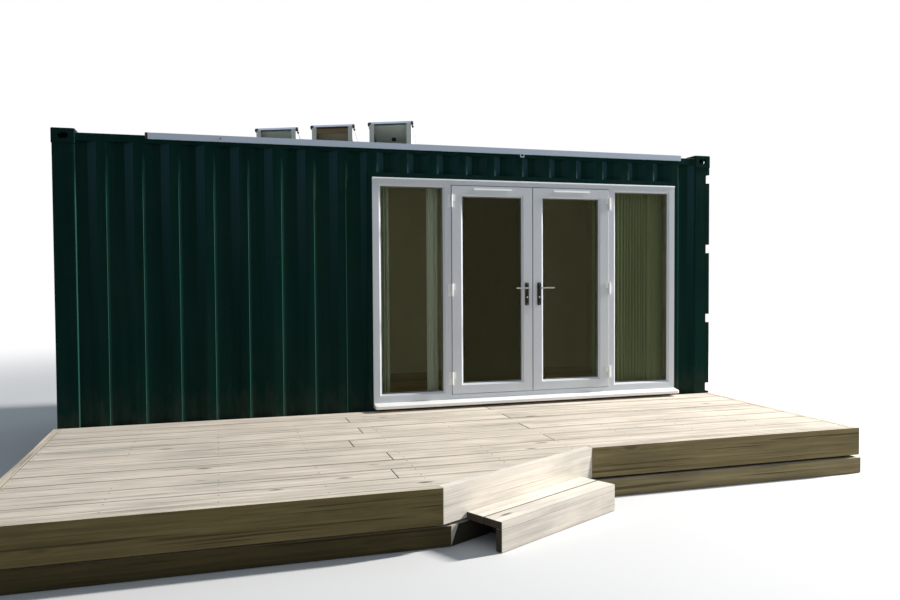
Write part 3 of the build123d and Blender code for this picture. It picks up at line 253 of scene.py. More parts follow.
def rod(start, end, radius, sides):
    """A round bar between two points, to be shaped further."""
    start, end = Vector(start), Vector(end)
    run = end - start
    bpy.ops.mesh.primitive_cylinder_add(vertices=sides, radius=radius, depth=run.length,
                                        location=(start + end) / 2,
                                        rotation=run.to_track_quat("Z", "Y").to_euler())
    return settle(bpy.context.object)


def ring(low, high, width, axis=1):
    """A rectangular ring that looks along an axis, cut from a box by an inset and a bridge."""
    obj = block(low, high)
    pick(obj, "FACE", lambda face: abs(face.normal[axis]) > 0.99)
    bpy.ops.mesh.inset(thickness=width, use_individual=True)
    bpy.ops.mesh.bridge_edge_loops()
    leave()
    return obj


def joined(name, parts):
    """One object from several."""
    bpy.ops.object.select_all(action="DESELECT")
    for part in parts:
        part.select_set(True)
    bpy.context.view_layer.objects.active = parts[0]
    if len(parts) > 1:
        bpy.ops.object.join()
    parts[0].name = parts[0].data.name = name
    return parts[0]


def new_object(name, data):
    """A new object in the scene, with its mesh, camera or lamp."""
    obj = bpy.data.objects.new(name, data)
    bpy.context.scene.collection.objects.link(obj)
    return obj


def node_copy(node, name):
    """A free copy of a CAD node's mesh, merged into clean faces."""
    obj = new_object(name, NODES[node].data.copy())
    obj.data.name = name
    obj.data.materials.clear()
    only(obj)
    bpy.ops.mesh.customdata_custom_splitnormals_clear()
    bpy.ops.object.mode_set(mode="EDIT")
    bpy.ops.mesh.select_all(action="SELECT")
    bpy.ops.mesh.remove_doubles(threshold=0.00003)
    bpy.ops.mesh.dissolve_limited(angle_limit=math.radians(0.6))
    leave()
    return obj


def islands(mesh):
    """The vertex numbers of each separate solid of a merged mesh."""
    work = bmesh.new()
    work.from_mesh(mesh)
    left, found = set(work.verts), []
    while left:
        group, edge = set(), [left.pop()]
        while edge:
            vert = edge.pop()
            group.add(vert.index)
            for other in (e.other_vert(vert) for e in vert.link_edges):
                if other in left:
                    left.remove(other)
                    edge.append(other)
        found.append(sorted(group))
    work.free()
    return sorted(found, key=lambda group: group[0])


def solids(node):
    """The lowest and highest corner of each separate solid of a CAD node."""
    made = node_copy(node, "measured")
    boxes = []
    for group in islands(made.data):
        places = [made.data.vertices[i].co for i in group]
        boxes.append((Vector([min(p[i] for p in places) for i in range(3)]),
                      Vector([max(p[i] for p in places) for i in range(3)])))
    bpy.data.objects.remove(made)
    return sorted(boxes, key=lambda box: (round(box[0].x, 3), round(box[0].z, 3)))


def dress(obj, finish, slot, *nodes, body=None):
    """Gives a finished piece its material and its body, and hides the nodes it stands for. Its slot is not
    used.
    """
    obj.data.materials.clear()
    obj.data.materials.append(finish)
    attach(obj, body or body_of(NODES[nodes[0]])[0])
    if nodes:
        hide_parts(*nodes)
    return obj


def grain_by_boards(obj, seed, tone, spread):
    """Gives every board its own grain, along its longest edge, and its own tone."""
    dice = random.Random(seed)
    mesh = obj.data
    mesh.attributes.new("grain", "FLOAT_VECTOR", "POINT")
    mesh.attributes.new("tone", "FLOAT", "FACE")
    mesh.attributes.new("side", "FLOAT", "POINT")
    grain, shade, side = (mesh.attributes[name].data for name in ("grain", "tone", "side"))
    owner, longest = {}, {}
    for edge in mesh.edges:
        a, b = (mesh.vertices[i].co for i in edge.vertices)
        for i in edge.vertices:
            if (b - a).length > longest.get(i, (0, None))[0]:
                longest[i] = ((b - a).length, b - a)
    for group in islands(mesh):
        along = max((longest[i] for i in group), key=lambda pair: pair[0])[1].normalized()
        if abs(along.z) > 0.9:
            across = Vector((1, 0, 0))
        else:
            across = Vector((0, 0, 1)).cross(along).normalized()
        up = along.cross(across)
        middle = sum((mesh.vertices[i].co for i in group), Vector()) / len(group)
        start = Vector((dice.uniform(0, 60), dice.uniform(0, 60), dice.uniform(0, 60)))
        level = (tone(middle, along) if tone else 0.5) + dice.uniform(-spread, spread)
        reach = max(abs((mesh.vertices[i].co - middle).dot(across)) for i in group)
        for i in group:
            place = mesh.vertices[i].co - middle
            side[i].value = place.dot(across) / reach
            grain[i].vector = start + Vector((place.dot(along), place.dot(across), place.dot(up)))
            owner[i] = (level, along)
    for face in mesh.polygons:
        level, along = owner[face.vertices[0]]
        sawn = abs(face.normal.dot(along)) > 0.8 and level > 0
        shade[face.index].value = level * (END_GRAIN if sawn else 1.0)
    return obj


def boards(node, name, width, seed, tone, spread):
    """A CAD node of boards with eased edges, each board with its own grain and tone."""
    return grain_by_boards(ease(node_copy(node, name), width), seed, tone, spread)


def paint_shade(obj, level, test):
    """Sets the tone of the faces that pass the test. Below zero it is painted shade."""
    shade = obj.data.attributes["tone"].data
    for face in obj.data.polygons:
        if test(face):
            shade[face.index].value = level


# Materials
ALONG_X = (400, 40, 40)
# Painted sky reflection: blue-grey laid on the front wall's slopes
PAINTED_SKY_REFLECTION = (0.017, 0.050, 0.059)
SPLASHED_DIRT = (0.060, 0.062, 0.045)
RUST_SPECKS = (0.075, 0.032, 0.014)
PALE_DUST = (0.05, 0.05, 0.045)


def darker(colour, share):
    """A share of a colour."""
    return tuple(share * part for part in colour)


def opaque(colour):
    """A colour or a grey as a shader takes it. The output of a node stays as it is."""
    if isinstance(colour, bpy.types.NodeSocket):
        return colour
    return (*colour, 1) if isinstance(colour, tuple) else (colour, colour, colour, 1)


class Wiring:
    """The nodes of a material or of the world. Its calls add nodes and join them."""

    def __init__(self, owner, shader, output):
        owner.use_nodes = True
        self.tree = owner.node_tree
        self.shader = self.tree.nodes[shader]
        self.output = self.tree.nodes[output]

    def node(self, kind, inputs=(), **settings):
        """A new node. Its inputs are values or the outputs of other nodes."""
        made = self.tree.nodes.new("ShaderNode" + kind)
        for key, value in settings.items():
            setattr(made, key, value)
        for socket, value in dict(inputs).items():
            if isinstance(value, bpy.types.NodeSocket):
                self.tree.links.new(value, made.inputs[socket])
            else:
                made.inputs[socket].default_value = value
        return made

    def maths(self, operation, first, second=0.0):
        """One operation on two numbers."""
        return self.node("Math", {0: first, 1: second}, operation=operation).outputs[0]

    def looked_at(self):
        """1 where the camera looks, in mirrors and glass too, and 0 for light on other things."""
        rays = self.node("LightPath").outputs
        return self.maths("MAXIMUM", rays["Is Camera Ray"],
                          self.maths("MAXIMUM", rays["Is Glossy Ray"], rays["Is Transmission Ray"]))

    def blend_with(self, other, share):
        """Ends the wiring in its own shader mixed with a share of another."""
        mixed = self.node("MixShader", {0: share, 1: self.shader.outputs[0], 2: other.outputs[0]})
        self.tree.links.new(mixed.outputs[0], self.output.inputs["Surface"])


class Finish(Wiring):
    """A material in the making, with the main values of its shader."""

    def __init__(self, name, **sockets):
        self.made = bpy.data.materials.new(name)
        super().__init__(self.made, "Principled BSDF", "Material Output")
        for socket, value in sockets.items():
            self.shader.inputs[socket.replace("_", " ")].default_value = value

    def carried(self, name):
        """A number that the faces or points of the piece carry."""
        return self.node("Attribute", attribute_name=name).outputs["Fac"]

    def place(self, scale=(1, 1, 1), attribute=None):
        """Object coordinates, or a vector attribute, stretched."""
        source = (self.node("Attribute", attribute_name=attribute).outputs["Vector"] if attribute
                  else self.node("TexCoord").outputs["Object"])
        return self.node("Mapping", {"Vector": source, "Scale": scale}).outputs["Vector"]

    def height(self, low, high):
        """0 at one level, 1 at another."""
        z = self.node("SeparateXYZ", {"Vector": self.place()}).outputs["Z"]
        return self.node("MapRange", {"Value": z, "From Min": low, "From Max": high}).outputs["Result"]

    def noise(self, place, scale, detail, roughness, distortion=0.0):
        """Cloudy noise, mostly between 0.3 and 0.7."""
        return self.node("TexNoise", {"Vector": place, "Scale": scale, "Detail": detail,
                                      "Roughness": roughness, "Distortion": distortion}).outputs[0]

    def ramp(self, value, *ends):
        """A colour or a grey that runs between two ends, each a value and its colour."""
        made = self.node("ValToRGB", {"Fac": value})
        for stop, (position, colour) in zip(made.color_ramp.elements, ends):
            stop.position = position
            stop.color = opaque(colour)
        return made.outputs["Color"]

    def mix(self, factor, first, second, blend="MIX"):
        """One colour between two, or both by another blend."""
        return self.node("Mix", {0: factor, 6: opaque(first), 7: opaque(second)}, data_type="RGBA",
                         blend_type=blend).outputs[2]

    def lay(self, colour, top, value, start, end, share=1.0):
        """Lays a share of a second colour over the first as a value rises."""
        return self.mix(self.ramp(value, (start, 0.0), (end, share)), colour, top)

    def times(self, first, second):
        """Two colours multiplied."""
        return self.mix(1.0, first, second, "MULTIPLY")

    def set(self, socket, value):
        """Joins an output to an input of the shader."""
        self.tree.links.new(value, self.shader.inputs[socket])

    def bump(self, height, distance, strength, over=None):
        """Gives the surface a relief, over another one where that is given."""
        inputs = {"Height": height, "Distance": distance, "Strength": strength}
        if over is not None:
            inputs["Normal"] = over
        normal = self.node("Bump", inputs).outputs["Normal"]
        self.set("Normal", normal)
        return normal


def painted_steel(name, deep, bright, highlight_colour, roughness=0.42):
    """Gloss paint over sheet steel: faint runs, dulled patches, splashes of dirt low down, and a painted
    highlight and a painted sky reflection where the faces carry them.
    """
    paint = Finish(name, Roughness=roughness, Specular_IOR_Level=0.02)
    runs = paint.noise(paint.place((11, 11, 0.4)), 1, 4, 0.55)
    patches = paint.noise(paint.place(), 1.7, 4, 0.6)
    colour = paint.lay(deep, bright, runs, 0.3, 0.7)
    dulled = tuple(0.75 * part + 0.012 for part in bright)
    colour = paint.lay(colour, dulled, patches, 0.45, 0.75, 0.35)
    splash = paint.maths("MULTIPLY", paint.ramp(paint.height(0.33, 1.0), (0.0, 1.0), (1.0, 0.0)),
                         paint.noise(paint.place((14, 14, 5)), 1, 5, 0.65))
    colour = paint.lay(colour, SPLASHED_DIRT, splash, 0.25, 0.75, 0.5)
    # Painted highlight: pale teal on the marked folds, gone towards the top where the rail would shade them
    painted_highlight = paint.maths("MULTIPLY", paint.carried("painted_highlight"),
                        paint.ramp(paint.height(1.6, 2.6), (0.55, 1.0), (0.85, 0.0)))
    colour = paint.mix(painted_highlight, colour, highlight_colour)
    # Painted sky reflection: blue-grey on the marked slopes, stronger higher up
    sky_reflection = paint.maths("MULTIPLY", paint.carried("sky_reflection"),
                          paint.maths("POWER", paint.height(0.9, 2.5), 1.7))
    colour = paint.mix(sky_reflection, colour, PAINTED_SKY_REFLECTION)
    specks = paint.noise(paint.place(), 46, 2, 0.5)
    paint.set("Base Color", paint.lay(colour, RUST_SPECKS, specks, 0.745, 0.76, 0.6))
    paint.set("Roughness", paint.ramp(patches, (0.3, roughness - 0.06), (0.75, roughness + 0.14)))
    dents = paint.bump(paint.noise(paint.place(), 2.6, 2, 0.4), 0.012, 0.35)
    paint.bump(paint.noise(paint.place(), 170, 2, 0.5), 0.0004, 0.4, over=dents)
    return paint.made


def timber(name, dark, pale, crown, roughness=0.82, wear=0.9, cracks=0.66):
    """Softwood whose boards run from a dark to a pale tone.

    Faces that look up take the crown tone, where there is one: partly bleaching by the sun, partly painted
    light from above that also lifts the painted shade off the tops.
    """
    wood = Finish(name, Roughness=roughness, Specular_IOR_Level=0.15)

    def streaks(stretch, *settings):
        """Noise along the grain of each board."""
        return wood.noise(wood.place(stretch, "grain"), 1, *settings)

    tone = wood.carried("tone")
    # Painted shade: a tone below zero darkens the colour, down to 8 % at -1
    painted_shade = wood.node("MapRange", {"Value": tone, "From Min": -1.0, "From Max": 0.0, "To Min": 0.08,
                                  "To Max": 1.0}).outputs["Result"]
    # Tops: paler by bleaching and by painted light from above, without the painted shade
    if crown is not None:
        up = wood.node("SeparateXYZ", {"Vector": wood.node("NewGeometry").outputs["Normal"]}).outputs["Z"]
        bleached_and_lit_top = wood.ramp(up, (0.35, 0.0), (0.8, 1.0))
        own_share = wood.maths("MULTIPLY", wood.maths("MAXIMUM", tone, 0.5), 0.35)
        tone = wood.mix(bleached_and_lit_top, tone, wood.maths("ADD", own_share, crown * 0.65))
        painted_shade = wood.mix(bleached_and_lit_top, painted_shade, 1.0)
    knots = wood.node("TexVoronoi", {"Vector": wood.place((1.5, 5.5, 5.5), "grain"),
                                     "Scale": 1.0}).outputs["Distance"]
    round_knots = wood.maths("MULTIPLY", wood.ramp(knots, (0.0, 1.0), (0.3, 0.0)), 0.035)
    swirl = wood.maths("MULTIPLY", streaks((1.1, 5, 5), 2, 0.5), 0.04)
    sway = wood.node("CombineXYZ", {"Y": round_knots, "Z": swirl}).outputs[0]
    bent = wood.node("VectorMath", {0: wood.place((1, 1, 1), "grain"), 1: sway}, operation="ADD").outputs[0]
    stretch = wood.node("Mapping", {"Vector": bent, "Scale": (0.9, 34, 34)}).outputs["Vector"]
    rings = wood.noise(stretch, 1, 6, 0.62, 0.3)
    fibres = streaks((3, 150, 150), 3, 0.6)
    stains = streaks((1.6, 4, 4), 4, 0.6)
    checks = wood.ramp(streaks((0.55, 48, 48), 3, 0.5, 0.2), (cracks, 0.0), (cracks + 0.04, 1.0))
    heart = wood.ramp(knots, (0.04, 1.0), (0.095, 0.0))
    colour = wood.mix(tone, dark, pale)
    colour = wood.times(colour, wood.ramp(rings, (0.3, 1 - 0.42 * wear), (0.62, 1.04)))
    colour = wood.times(colour, wood.ramp(fibres, (0.3, 0.86), (0.7, 1.05)))
    colour = wood.times(colour, wood.ramp(stains, (0.25, (0.72, 0.73, 0.72)), (0.6, (1.03, 1.01, 0.98))))
    colour = wood.mix(wood.maths("MULTIPLY", checks, 0.75 * wear), colour, darker(dark, 0.25))
    colour = wood.mix(wood.maths("MULTIPLY", heart, 0.8), colour, darker(dark, 0.45))
    if crown is not None:
        from_middle = wood.maths("ABSOLUTE", wood.carried("side"))
        rim = wood.maths("MULTIPLY", wood.ramp(from_middle, (0.90, 0.0), (0.985, 1.0)), bleached_and_lit_top)
        worn = wood.ramp(streaks((1.3, 3, 3), 3, 0.6), (0.3, 0.25), (0.6, 0.95))
        colour = wood.mix(wood.maths("MULTIPLY", rim, worn), colour, darker(dark, 0.7))
    wood.set("Base Color", wood.times(colour, painted_shade))
    relief = wood.maths("SUBTRACT", wood.maths("MULTIPLY", rings, 0.7), checks)
    coarse = wood.bump(relief, 0.0022, 0.7 * wear)
    wood.bump(fibres, 0.0006, 0.5, over=coarse)
    return wood.made


def plastic(name, colour, roughness=0.28):
    """White window plastic: a slight mottle, and grime where rain leaves it."""
    white = Finish(name, Roughness=roughness, Specular_IOR_Level=0.5)
    mottle = white.noise(white.place(), 5, 4, 0.6)
    grime = white.noise(white.place((30, 30, 3)), 1, 4, 0.6)
    shade = white.lay(colour, darker(colour, 0.94), mottle, 0.35, 0.7, 0.5)
    white.set("Base Color", white.lay(shade, darker(colour, 0.8), grime, 0.58, 0.85, 0.35))
    white.set("Roughness", white.ramp(mottle, (0.3, roughness), (0.7, roughness + 0.12)))
    white.bump(white.noise(white.place(), 240, 2, 0.5), 0.0002, 0.3)
    return white.made


def metal(name, colour, roughness, brushed=(40, 40, 400)):
    """Bare or coated metal with fine brushed lines."""
    made = Finish(name, Metallic=1.0, Roughness=roughness)
    lines = made.noise(made.place(brushed), 1, 3, 0.6)
    dull = made.noise(made.place(), 9, 4, 0.6)
    made.set("Base Color", made.lay(colour, darker(colour, 0.8), dull, 0.35, 0.7))
    made.set("Roughness", made.ramp(lines, (0.3, roughness * 0.8), (0.7, min(1.0, roughness * 1.35))))
    made.bump(lines, 0.0002, 0.25)
    return made.made


def board(name, colour, roughness=0.7):
    """A painted or bare sheet board with a soft mottle."""
    made = Finish(name, Roughness=roughness, Specular_IOR_Level=0.25)
    patches = made.noise(made.place(), 2.2, 5, 0.65)
    grain = made.noise(made.place((60, 60, 8)), 1, 3, 0.6)
    shade = made.lay(colour, darker(colour, 0.88), patches, 0.3, 0.75)
    made.set("Base Color", made.lay(shade, darker(colour, 0.8), grain, 0.4, 0.8, 0.3))
    made.bump(grain, 0.0005, 0.3)
    return made.made


def rubber(name, colour):
    """Dark sealing rubber with a little dust."""
    made = Finish(name, Roughness=0.6, Specular_IOR_Level=0.3)
    dust = made.noise(made.place(), 60, 3, 0.6)
    made.set("Base Color", made.lay(colour, PALE_DUST, dust, 0.45, 0.8, 0.5))
    made.bump(dust, 0.0003, 0.3)
    return made.made


def window_glass(name, clean, filmed):
    """Clear glass with a thin film, which the lamp's light passes as if it were open."""
    clear = Finish(name, Roughness=0.0, IOR=1.17, Transmission_Weight=1.0,
                   Specular_Tint=(1.0, 0.97, 0.55, 1.0))
    film = clear.noise(clear.place((3, 3, 1.2)), 1, 4, 0.6)
    clear.set("Base Color", clear.lay(clean, filmed, film, 0.4, 0.8))
    clear.bump(clear.noise(clear.place((1.2, 1.2, 0.9)), 1, 1, 0.3), 0.004, 0.12)
    open_way = clear.node("BsdfTransparent", {"Color": (0.72, 0.73, 0.66, 1)})
    clear.blend_with(open_way, clear.node("LightPath").outputs["Is Shadow Ray"])
    return clear.made


def thin_cloth(name, colour):
    """A light curtain: a woven surface that lets some light through."""
    cloth = Finish(name, Roughness=0.85, Specular_IOR_Level=0.1, Sheen_Weight=0.3)
    threads = cloth.node("TexWave", {"Vector": cloth.place((1, 1, 1), "weave"), "Scale": 130.0}).outputs[1]
    slubs = cloth.noise(cloth.place((90, 4, 1), "weave"), 1, 3, 0.6)
    shade = cloth.lay(colour, darker(colour, 0.8), slubs, 0.35, 0.7)
    cloth.set("Base Color", shade)
    cloth.bump(threads, 0.0004, 0.4)
    cloth.blend_with(cloth.node("BsdfTranslucent", {"Color": shade}), 0.35)
    return cloth.made


def cell_glass(name, ground, crystal):
    """Dark glazed solar cells: a smooth ground with a glint of crystals."""
    made = Finish(name, Roughness=0.12, Specular_IOR_Level=0.5)
    crystals = made.node("TexVoronoi", {"Vector": made.place(), "Scale": 90.0}).outputs["Color"]
    made.set("Base Color", made.mix(0.35, ground, made.times(crystals, crystal)))
    made.set("Roughness", made.ramp(made.noise(made.place(), 8, 4, 0.6), (0.4, 0.08), (0.7, 0.3)))
    return made.made


# The third colour is the painted highlight on the folds; the roof sheet carries no highlight marks
GREEN = painted_steel("green_gloss_paint", (0.0024, 0.0168, 0.0134), (0.0046, 0.0294, 0.0231),
                      (0.085, 0.310, 0.240))
ROOF_GREEN = painted_steel("weathered_roof_paint", (0.290, 0.350, 0.325), (0.400, 0.455, 0.430),
                           (0.2, 0.25, 0.22), 0.6)
DECKING = timber("weathered_decking", (0.125, 0.104, 0.050), (0.940, 0.850, 0.745), 0.95,
                 wear=0.7, cracks=0.63)
STEP_BOARD = timber("pale_step_board", (0.300, 0.250, 0.170), (0.980, 0.915, 0.830), 0.97,
                    wear=0.45, cracks=0.655)
EDGE_BOARD = timber("brown_edge_board", (0.365, 0.283, 0.122), (0.940, 0.850, 0.745), 0.95,
                    wear=1.0, cracks=0.61)
SLEEPER = timber("rough_sleeper", (0.060, 0.045, 0.030), (0.330, 0.270, 0.200), None)
FLOORING = timber("pale_floorboards", (0.200, 0.120, 0.060), (0.560, 0.390, 0.230), None,
                  roughness=0.5, wear=0.35)
# One white plastic in three copies: the frames greyed and tinted blue as painted shade, the sill and the
# small fittings brighter as painted light
WHITE_PLASTIC_IN_SHADE = plastic("white_window_plastic_painted_shade", (0.67, 0.705, 0.75))
WHITE_PLASTIC_IN_LIGHT = plastic("white_sill_painted_light", (0.93, 0.92, 0.90))
FITTING_PLASTIC_IN_LIGHT = plastic("white_fitting_painted_light", (0.90, 0.90, 0.90), 0.2)
TRIM = plastic("pale_roof_trim", (0.52, 0.61, 0.73), 0.4)
GLASS = window_glass("clear_window_glass", (0.86, 0.87, 0.79), (0.82, 0.83, 0.75))
GASKET = rubber("dark_sealing_rubber", (0.012, 0.012, 0.013))
SPACER = metal("satin_spacer_bar", (0.45, 0.46, 0.47), 0.35)
PLATE = metal("dark_polished_plate", (0.022, 0.021, 0.018), 0.2, ALONG_X)
CHROME = metal("polished_lever_metal", (0.38, 0.38, 0.36), 0.12, ALONG_X)
ZINC = metal("dull_zinc", (0.42, 0.44, 0.45), 0.42)
ALUMINIUM = metal("satin_aluminium", (0.38, 0.45, 0.56), 0.35, ALONG_X)
SCREW = metal("screw_steel", (0.30, 0.29, 0.28), 0.45)
CELLS = cell_glass("dark_solar_cells", (0.006, 0.010, 0.030), (0.02, 0.04, 0.10))
LINING = board("cream_wall_board", (0.62, 0.58, 0.47))
CEILING = board("white_ceiling_board", (0.72, 0.71, 0.67))
UNIT_BOARDS = [board(f"{name}_back_board", colour, 0.75) for name, colour in
               (("cream", (0.96, 0.92, 0.80)), ("brown", (0.90, 0.73, 0.53)), ("grey", (0.84, 0.85, 0.76)))]
UNIT_SIDE = board("white_side_board", (0.82, 0.79, 0.74), 0.6)
SURROUND = timber("brown_wood_surround", (0.240, 0.120, 0.045), (0.760, 0.620, 0.420), None, wear=0.5)
CURTAINS = [thin_cloth("pale_blue_voile", (0.44, 0.53, 0.50)),
            thin_cloth("pale_blue_voile_right", (0.84, 0.94, 1.00)),
            thin_cloth("pale_green_voile", (0.27, 0.37, 0.24))]


def mark(obj, name, level):
    """Gives every face a level of one painted mark: its painted highlight or its painted sky reflection."""
    marked = obj.data.attributes.new(name, "FLOAT", "FACE")
    for face in obj.data.polygons:
        marked.data[face.index].value = level(face)


def slope_reflection(lean, over_doors):
    """The front's painted sky reflection: most on left-facing slopes, and on right-facing ones over the
    doors.
    """
    if not 0.2 < abs(lean) < 0.97:
        return 0.0
    if lean > 0:
        return 1.0 if over_doors else 0.0
    return 0.4 if over_doors else 1.0


def fold_highlight(face, front):
    """A painted highlight on the outer folds that turn towards the lamp, strongest where they start to turn.
    """
    if face.center.y > front + 0.004 or not 0.06 < face.normal.x < 0.44:
        return 0.0
    return 1.0 if face.normal.x < 0.26 else 0.12


# Steel walls and roof: the folds of the pressed sheets are rounded, their 2 mm rims are not
def pressed(node, radius, finish):
    """A pressed sheet with rounded folds."""
    obj = node_copy(node, f"{node}_pressed")
    weights = obj.data.attributes.new("bevel_weight_edge", "FLOAT", "EDGE")
    work = bmesh.new()
    work.from_mesh(obj.data)
    folds = [e.index for e in work.edges
             if e.is_manifold and math.radians(12) < e.calc_face_angle(0) < math.radians(70)]
    work.free()
    for i in folds:
        weights.data[i].value = 1.0
    modify(obj, "BEVEL", width=radius, segments=4, limit_method="WEIGHT")
    smooth(obj, 30)
    # The front sheets get a painted highlight on their folds and a painted sky reflection on their slopes
    if node.startswith("front"):
        front = min(v.co.y for v in obj.data.vertices)
        mark(obj, "painted_highlight", lambda face: fold_highlight(face, front))
        mark(obj, "sky_reflection", lambda face: slope_reflection(face.normal.x, node.endswith("over_doors")))
    dress(obj, finish, "steel_paint", node)


for wall in ("front_walls", "front_wall_over_doors", "back_wall", "left_end_wall"):
    pressed(wall, 0.010, GREEN)
pressed("roof_sheet", 0.004, ROOF_GREEN)


def eased(node, width, finish, slot, segments=2):
    """A CAD piece with its edges rounded."""
    dress(ease(node_copy(node, f"{node}_eased"), width, segments), finish, slot, node)


for node, width in (("corner_castings", 0.0025), ("bottom_rails", 0.002),
                    ("cross_members", 0.001), ("top_rails", 0.0012), ("opening_jambs", 0.0015),
                    ("opening_rails", 0.0015), ("cargo_doors", 0.0008)):
    eased(node, width, GREEN, "steel_paint")
eased("lock_rods", 0.0015, ZINC, "zinc")


def corner_posts():
    """Pressed posts, with a wide round fold where each turns towards the wall."""
    obj = node_copy("corner_posts", "corner_posts_eased")
    reach = max(abs(v.co.y) for v in obj.data.vertices)

    def at_fold(vert):
        return abs(vert.co.y) > reach - 0.0005 and 2.8 < abs(vert.co.x) < 2.95

    upright = along_axis(2)
    pick(obj, "EDGE", lambda edge: upright(edge) and edge.calc_length() > 0.4
         and all(map(at_fold, edge.verts)))
    bpy.ops.mesh.bevel(offset=0.015, segments=6)
    leave()
    ease(obj, 0.002)
    # A weaker painted highlight on the posts' folds that turn towards the wall
    mark(obj, "painted_highlight", lambda face: POST_HIGHLIGHT * (0.2 < face.normal.x < 0.97 and face.normal.y < -0.1
                                                and face.center.x < 0))
    dress(obj, GREEN, "steel_paint", "corner_posts")


corner_posts()


def door_gaskets():
    """The flat rubber seals round the face of each cargo door."""
    seals = []
    for low, high in solids("cargo_doors"):
        if high.z - low.z > 1:
            seals.append(ease(ring((CARGO_DOOR_FACE - 0.002, low.y + 0.001, low.z + 0.001),
                                   (CARGO_DOOR_FACE + 0.0035, high.y - 0.001, high.z - 0.001), 0.026, 0),
                              0.0012))
    dress(joined("cargo_door_gaskets", seals), GASKET, "dark_metal", body=CABIN)


door_gaskets()


# Door set
def leaf_hinges(side):
    """A leaf's hinge halves, their upper front edge sloped back."""
    node = f"{side}_leaf_hinges"
    obj = node_copy(node, f"{node}_eased")
    places = [v.co.copy() for v in obj.data.vertices]
    top = max(p.z for p in places)
    lip = min(p.y for p in places if p.z > top - 0.001)
    nose = min(p.y for p in places if p.z > top - 0.005)
    nudge(obj, (0, 0, -0.006), lambda v: abs(v.co.z - top + 0.004) < 0.0006 and v.co.y < nose + 0.0006)
    nudge(obj, (0, 0.005, 0), lambda v: v.co.z > top - 0.0006 and v.co.y < lip + 0.0006)
    dress(ease(obj, 0.001), FITTING_PLASTIC_IN_LIGHT, "white_plastic", node)


for node, width, finish in (("sidelight_frames", 0.0015, WHITE_PLASTIC_IN_SHADE), ("doorway_rails", 0.0015, WHITE_PLASTIC_IN_SHADE),
                            ("door_sill", 0.0015, WHITE_PLASTIC_IN_LIGHT), ("frame_hinges", 0.001, FITTING_PLASTIC_IN_LIGHT)):
    eased(node, width, finish, "white_plastic")
for side in ("left", "right"):
    eased(f"{side}_leaf_frame", 0.0015, WHITE_PLASTIC_IN_SHADE, "white_plastic")
    leaf_hinges(side)
    eased(f"{side}_lever_plates", 0.0015, PLATE, "dark_metal")
    eased(f"{side}_lever_handle", 0.002, CHROME, "bright_metal", 3)


def plate_fittings(side):
    """Each outer plate's key cylinder and its two screws."""
    low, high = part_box(f"{side}_lever_plates")
    x, face = (low.x + high.x) / 2, low.y
    parts = []
    for level, radius, proud in ((KEY_LEVEL, 0.0085, 0.005), (high.z - SCREW_INSET, 0.0035, 0.0012),
                                 (low.z + SCREW_INSET, 0.0035, 0.0012)):
        part = rod((x, face + 0.001, level), (x, face - proud, level), radius, 20)
        raise_face(part, (0, -1, 0), radius * 0.35, -0.0008)
        parts.append(ease(part, 0.0004))
    dress(joined(f"{side}_plate_fittings", parts), CHROME, "bright_metal", body=f"{side}_leaf")


for side in ("left", "right"):
    plate_fittings(side)


def glazing(node):
    """Sealed units: two panes, the spacer between them and a seal on either side."""
    body = body_of(NODES[node])[0]
    panes, spacers, seals = [], [], []
    for low, high in solids(node):
        for front in (low.y + 0.0004, high.y - 0.0044):
            pane = block((low.x, front, low.z), (high.x, front + 0.004, high.z))
            panes.append(ease(pane, 0.0006, 1))
        spacer = ring((low.x + 0.001, low.y + 0.0048, low.z + 0.001),
                      (high.x - 0.001, high.y - 0.0048, high.z - 0.001), 0.016)
        spacers.append(ease(spacer, 0.0006, 1))
        for front in (low.y - 0.0024, high.y + 0.0004):
            seal = ring((low.x + 0.010, front, low.z + 0.010),
                        (high.x - 0.010, front + 0.002, high.z - 0.010), 0.005)
            seals.append(ease(seal, 0.0007))
    stem = node.removesuffix("glass")
    dress(joined(stem + "panes", panes), GLASS, "glass", node)
    dress(joined(stem + "spacers", spacers), SPACER, "aluminium", body=body)
    dress(joined(stem + "seals", seals), GASKET, "dark_metal", body=body)


for node in ("sidelight_glass", "left_leaf_glass", "right_leaf_glass"):
    glazing(node)


# Deck
def plank(low, high, edge, dice, cut=None):
    """A board along X, a little uneven, its end cut off along a plane where one is given."""
    obj = block(low, high)
    pick(obj, "EDGE", along_axis(0))
    bpy.ops.mesh.subdivide(number_cuts=max(1, int((high[0] - low[0]) / 0.45)))
    leave()
    if cut:
        slice_along(obj, *cut, clear_inner=True, use_fill=True)
    ease(obj, edge)
    phase, sway, lift = dice.uniform(0, 6), dice.uniform(0.0004, 0.0013), dice.uniform(-0.0012, 0)
    for vert in obj.data.vertices:
        vert.co.y += sway * math.sin(vert.co.x * 2.3 + phase)
        vert.co.z += lift + 0.4 * sway * math.sin(vert.co.x * 1.7 + 2 * phase)
    return obj


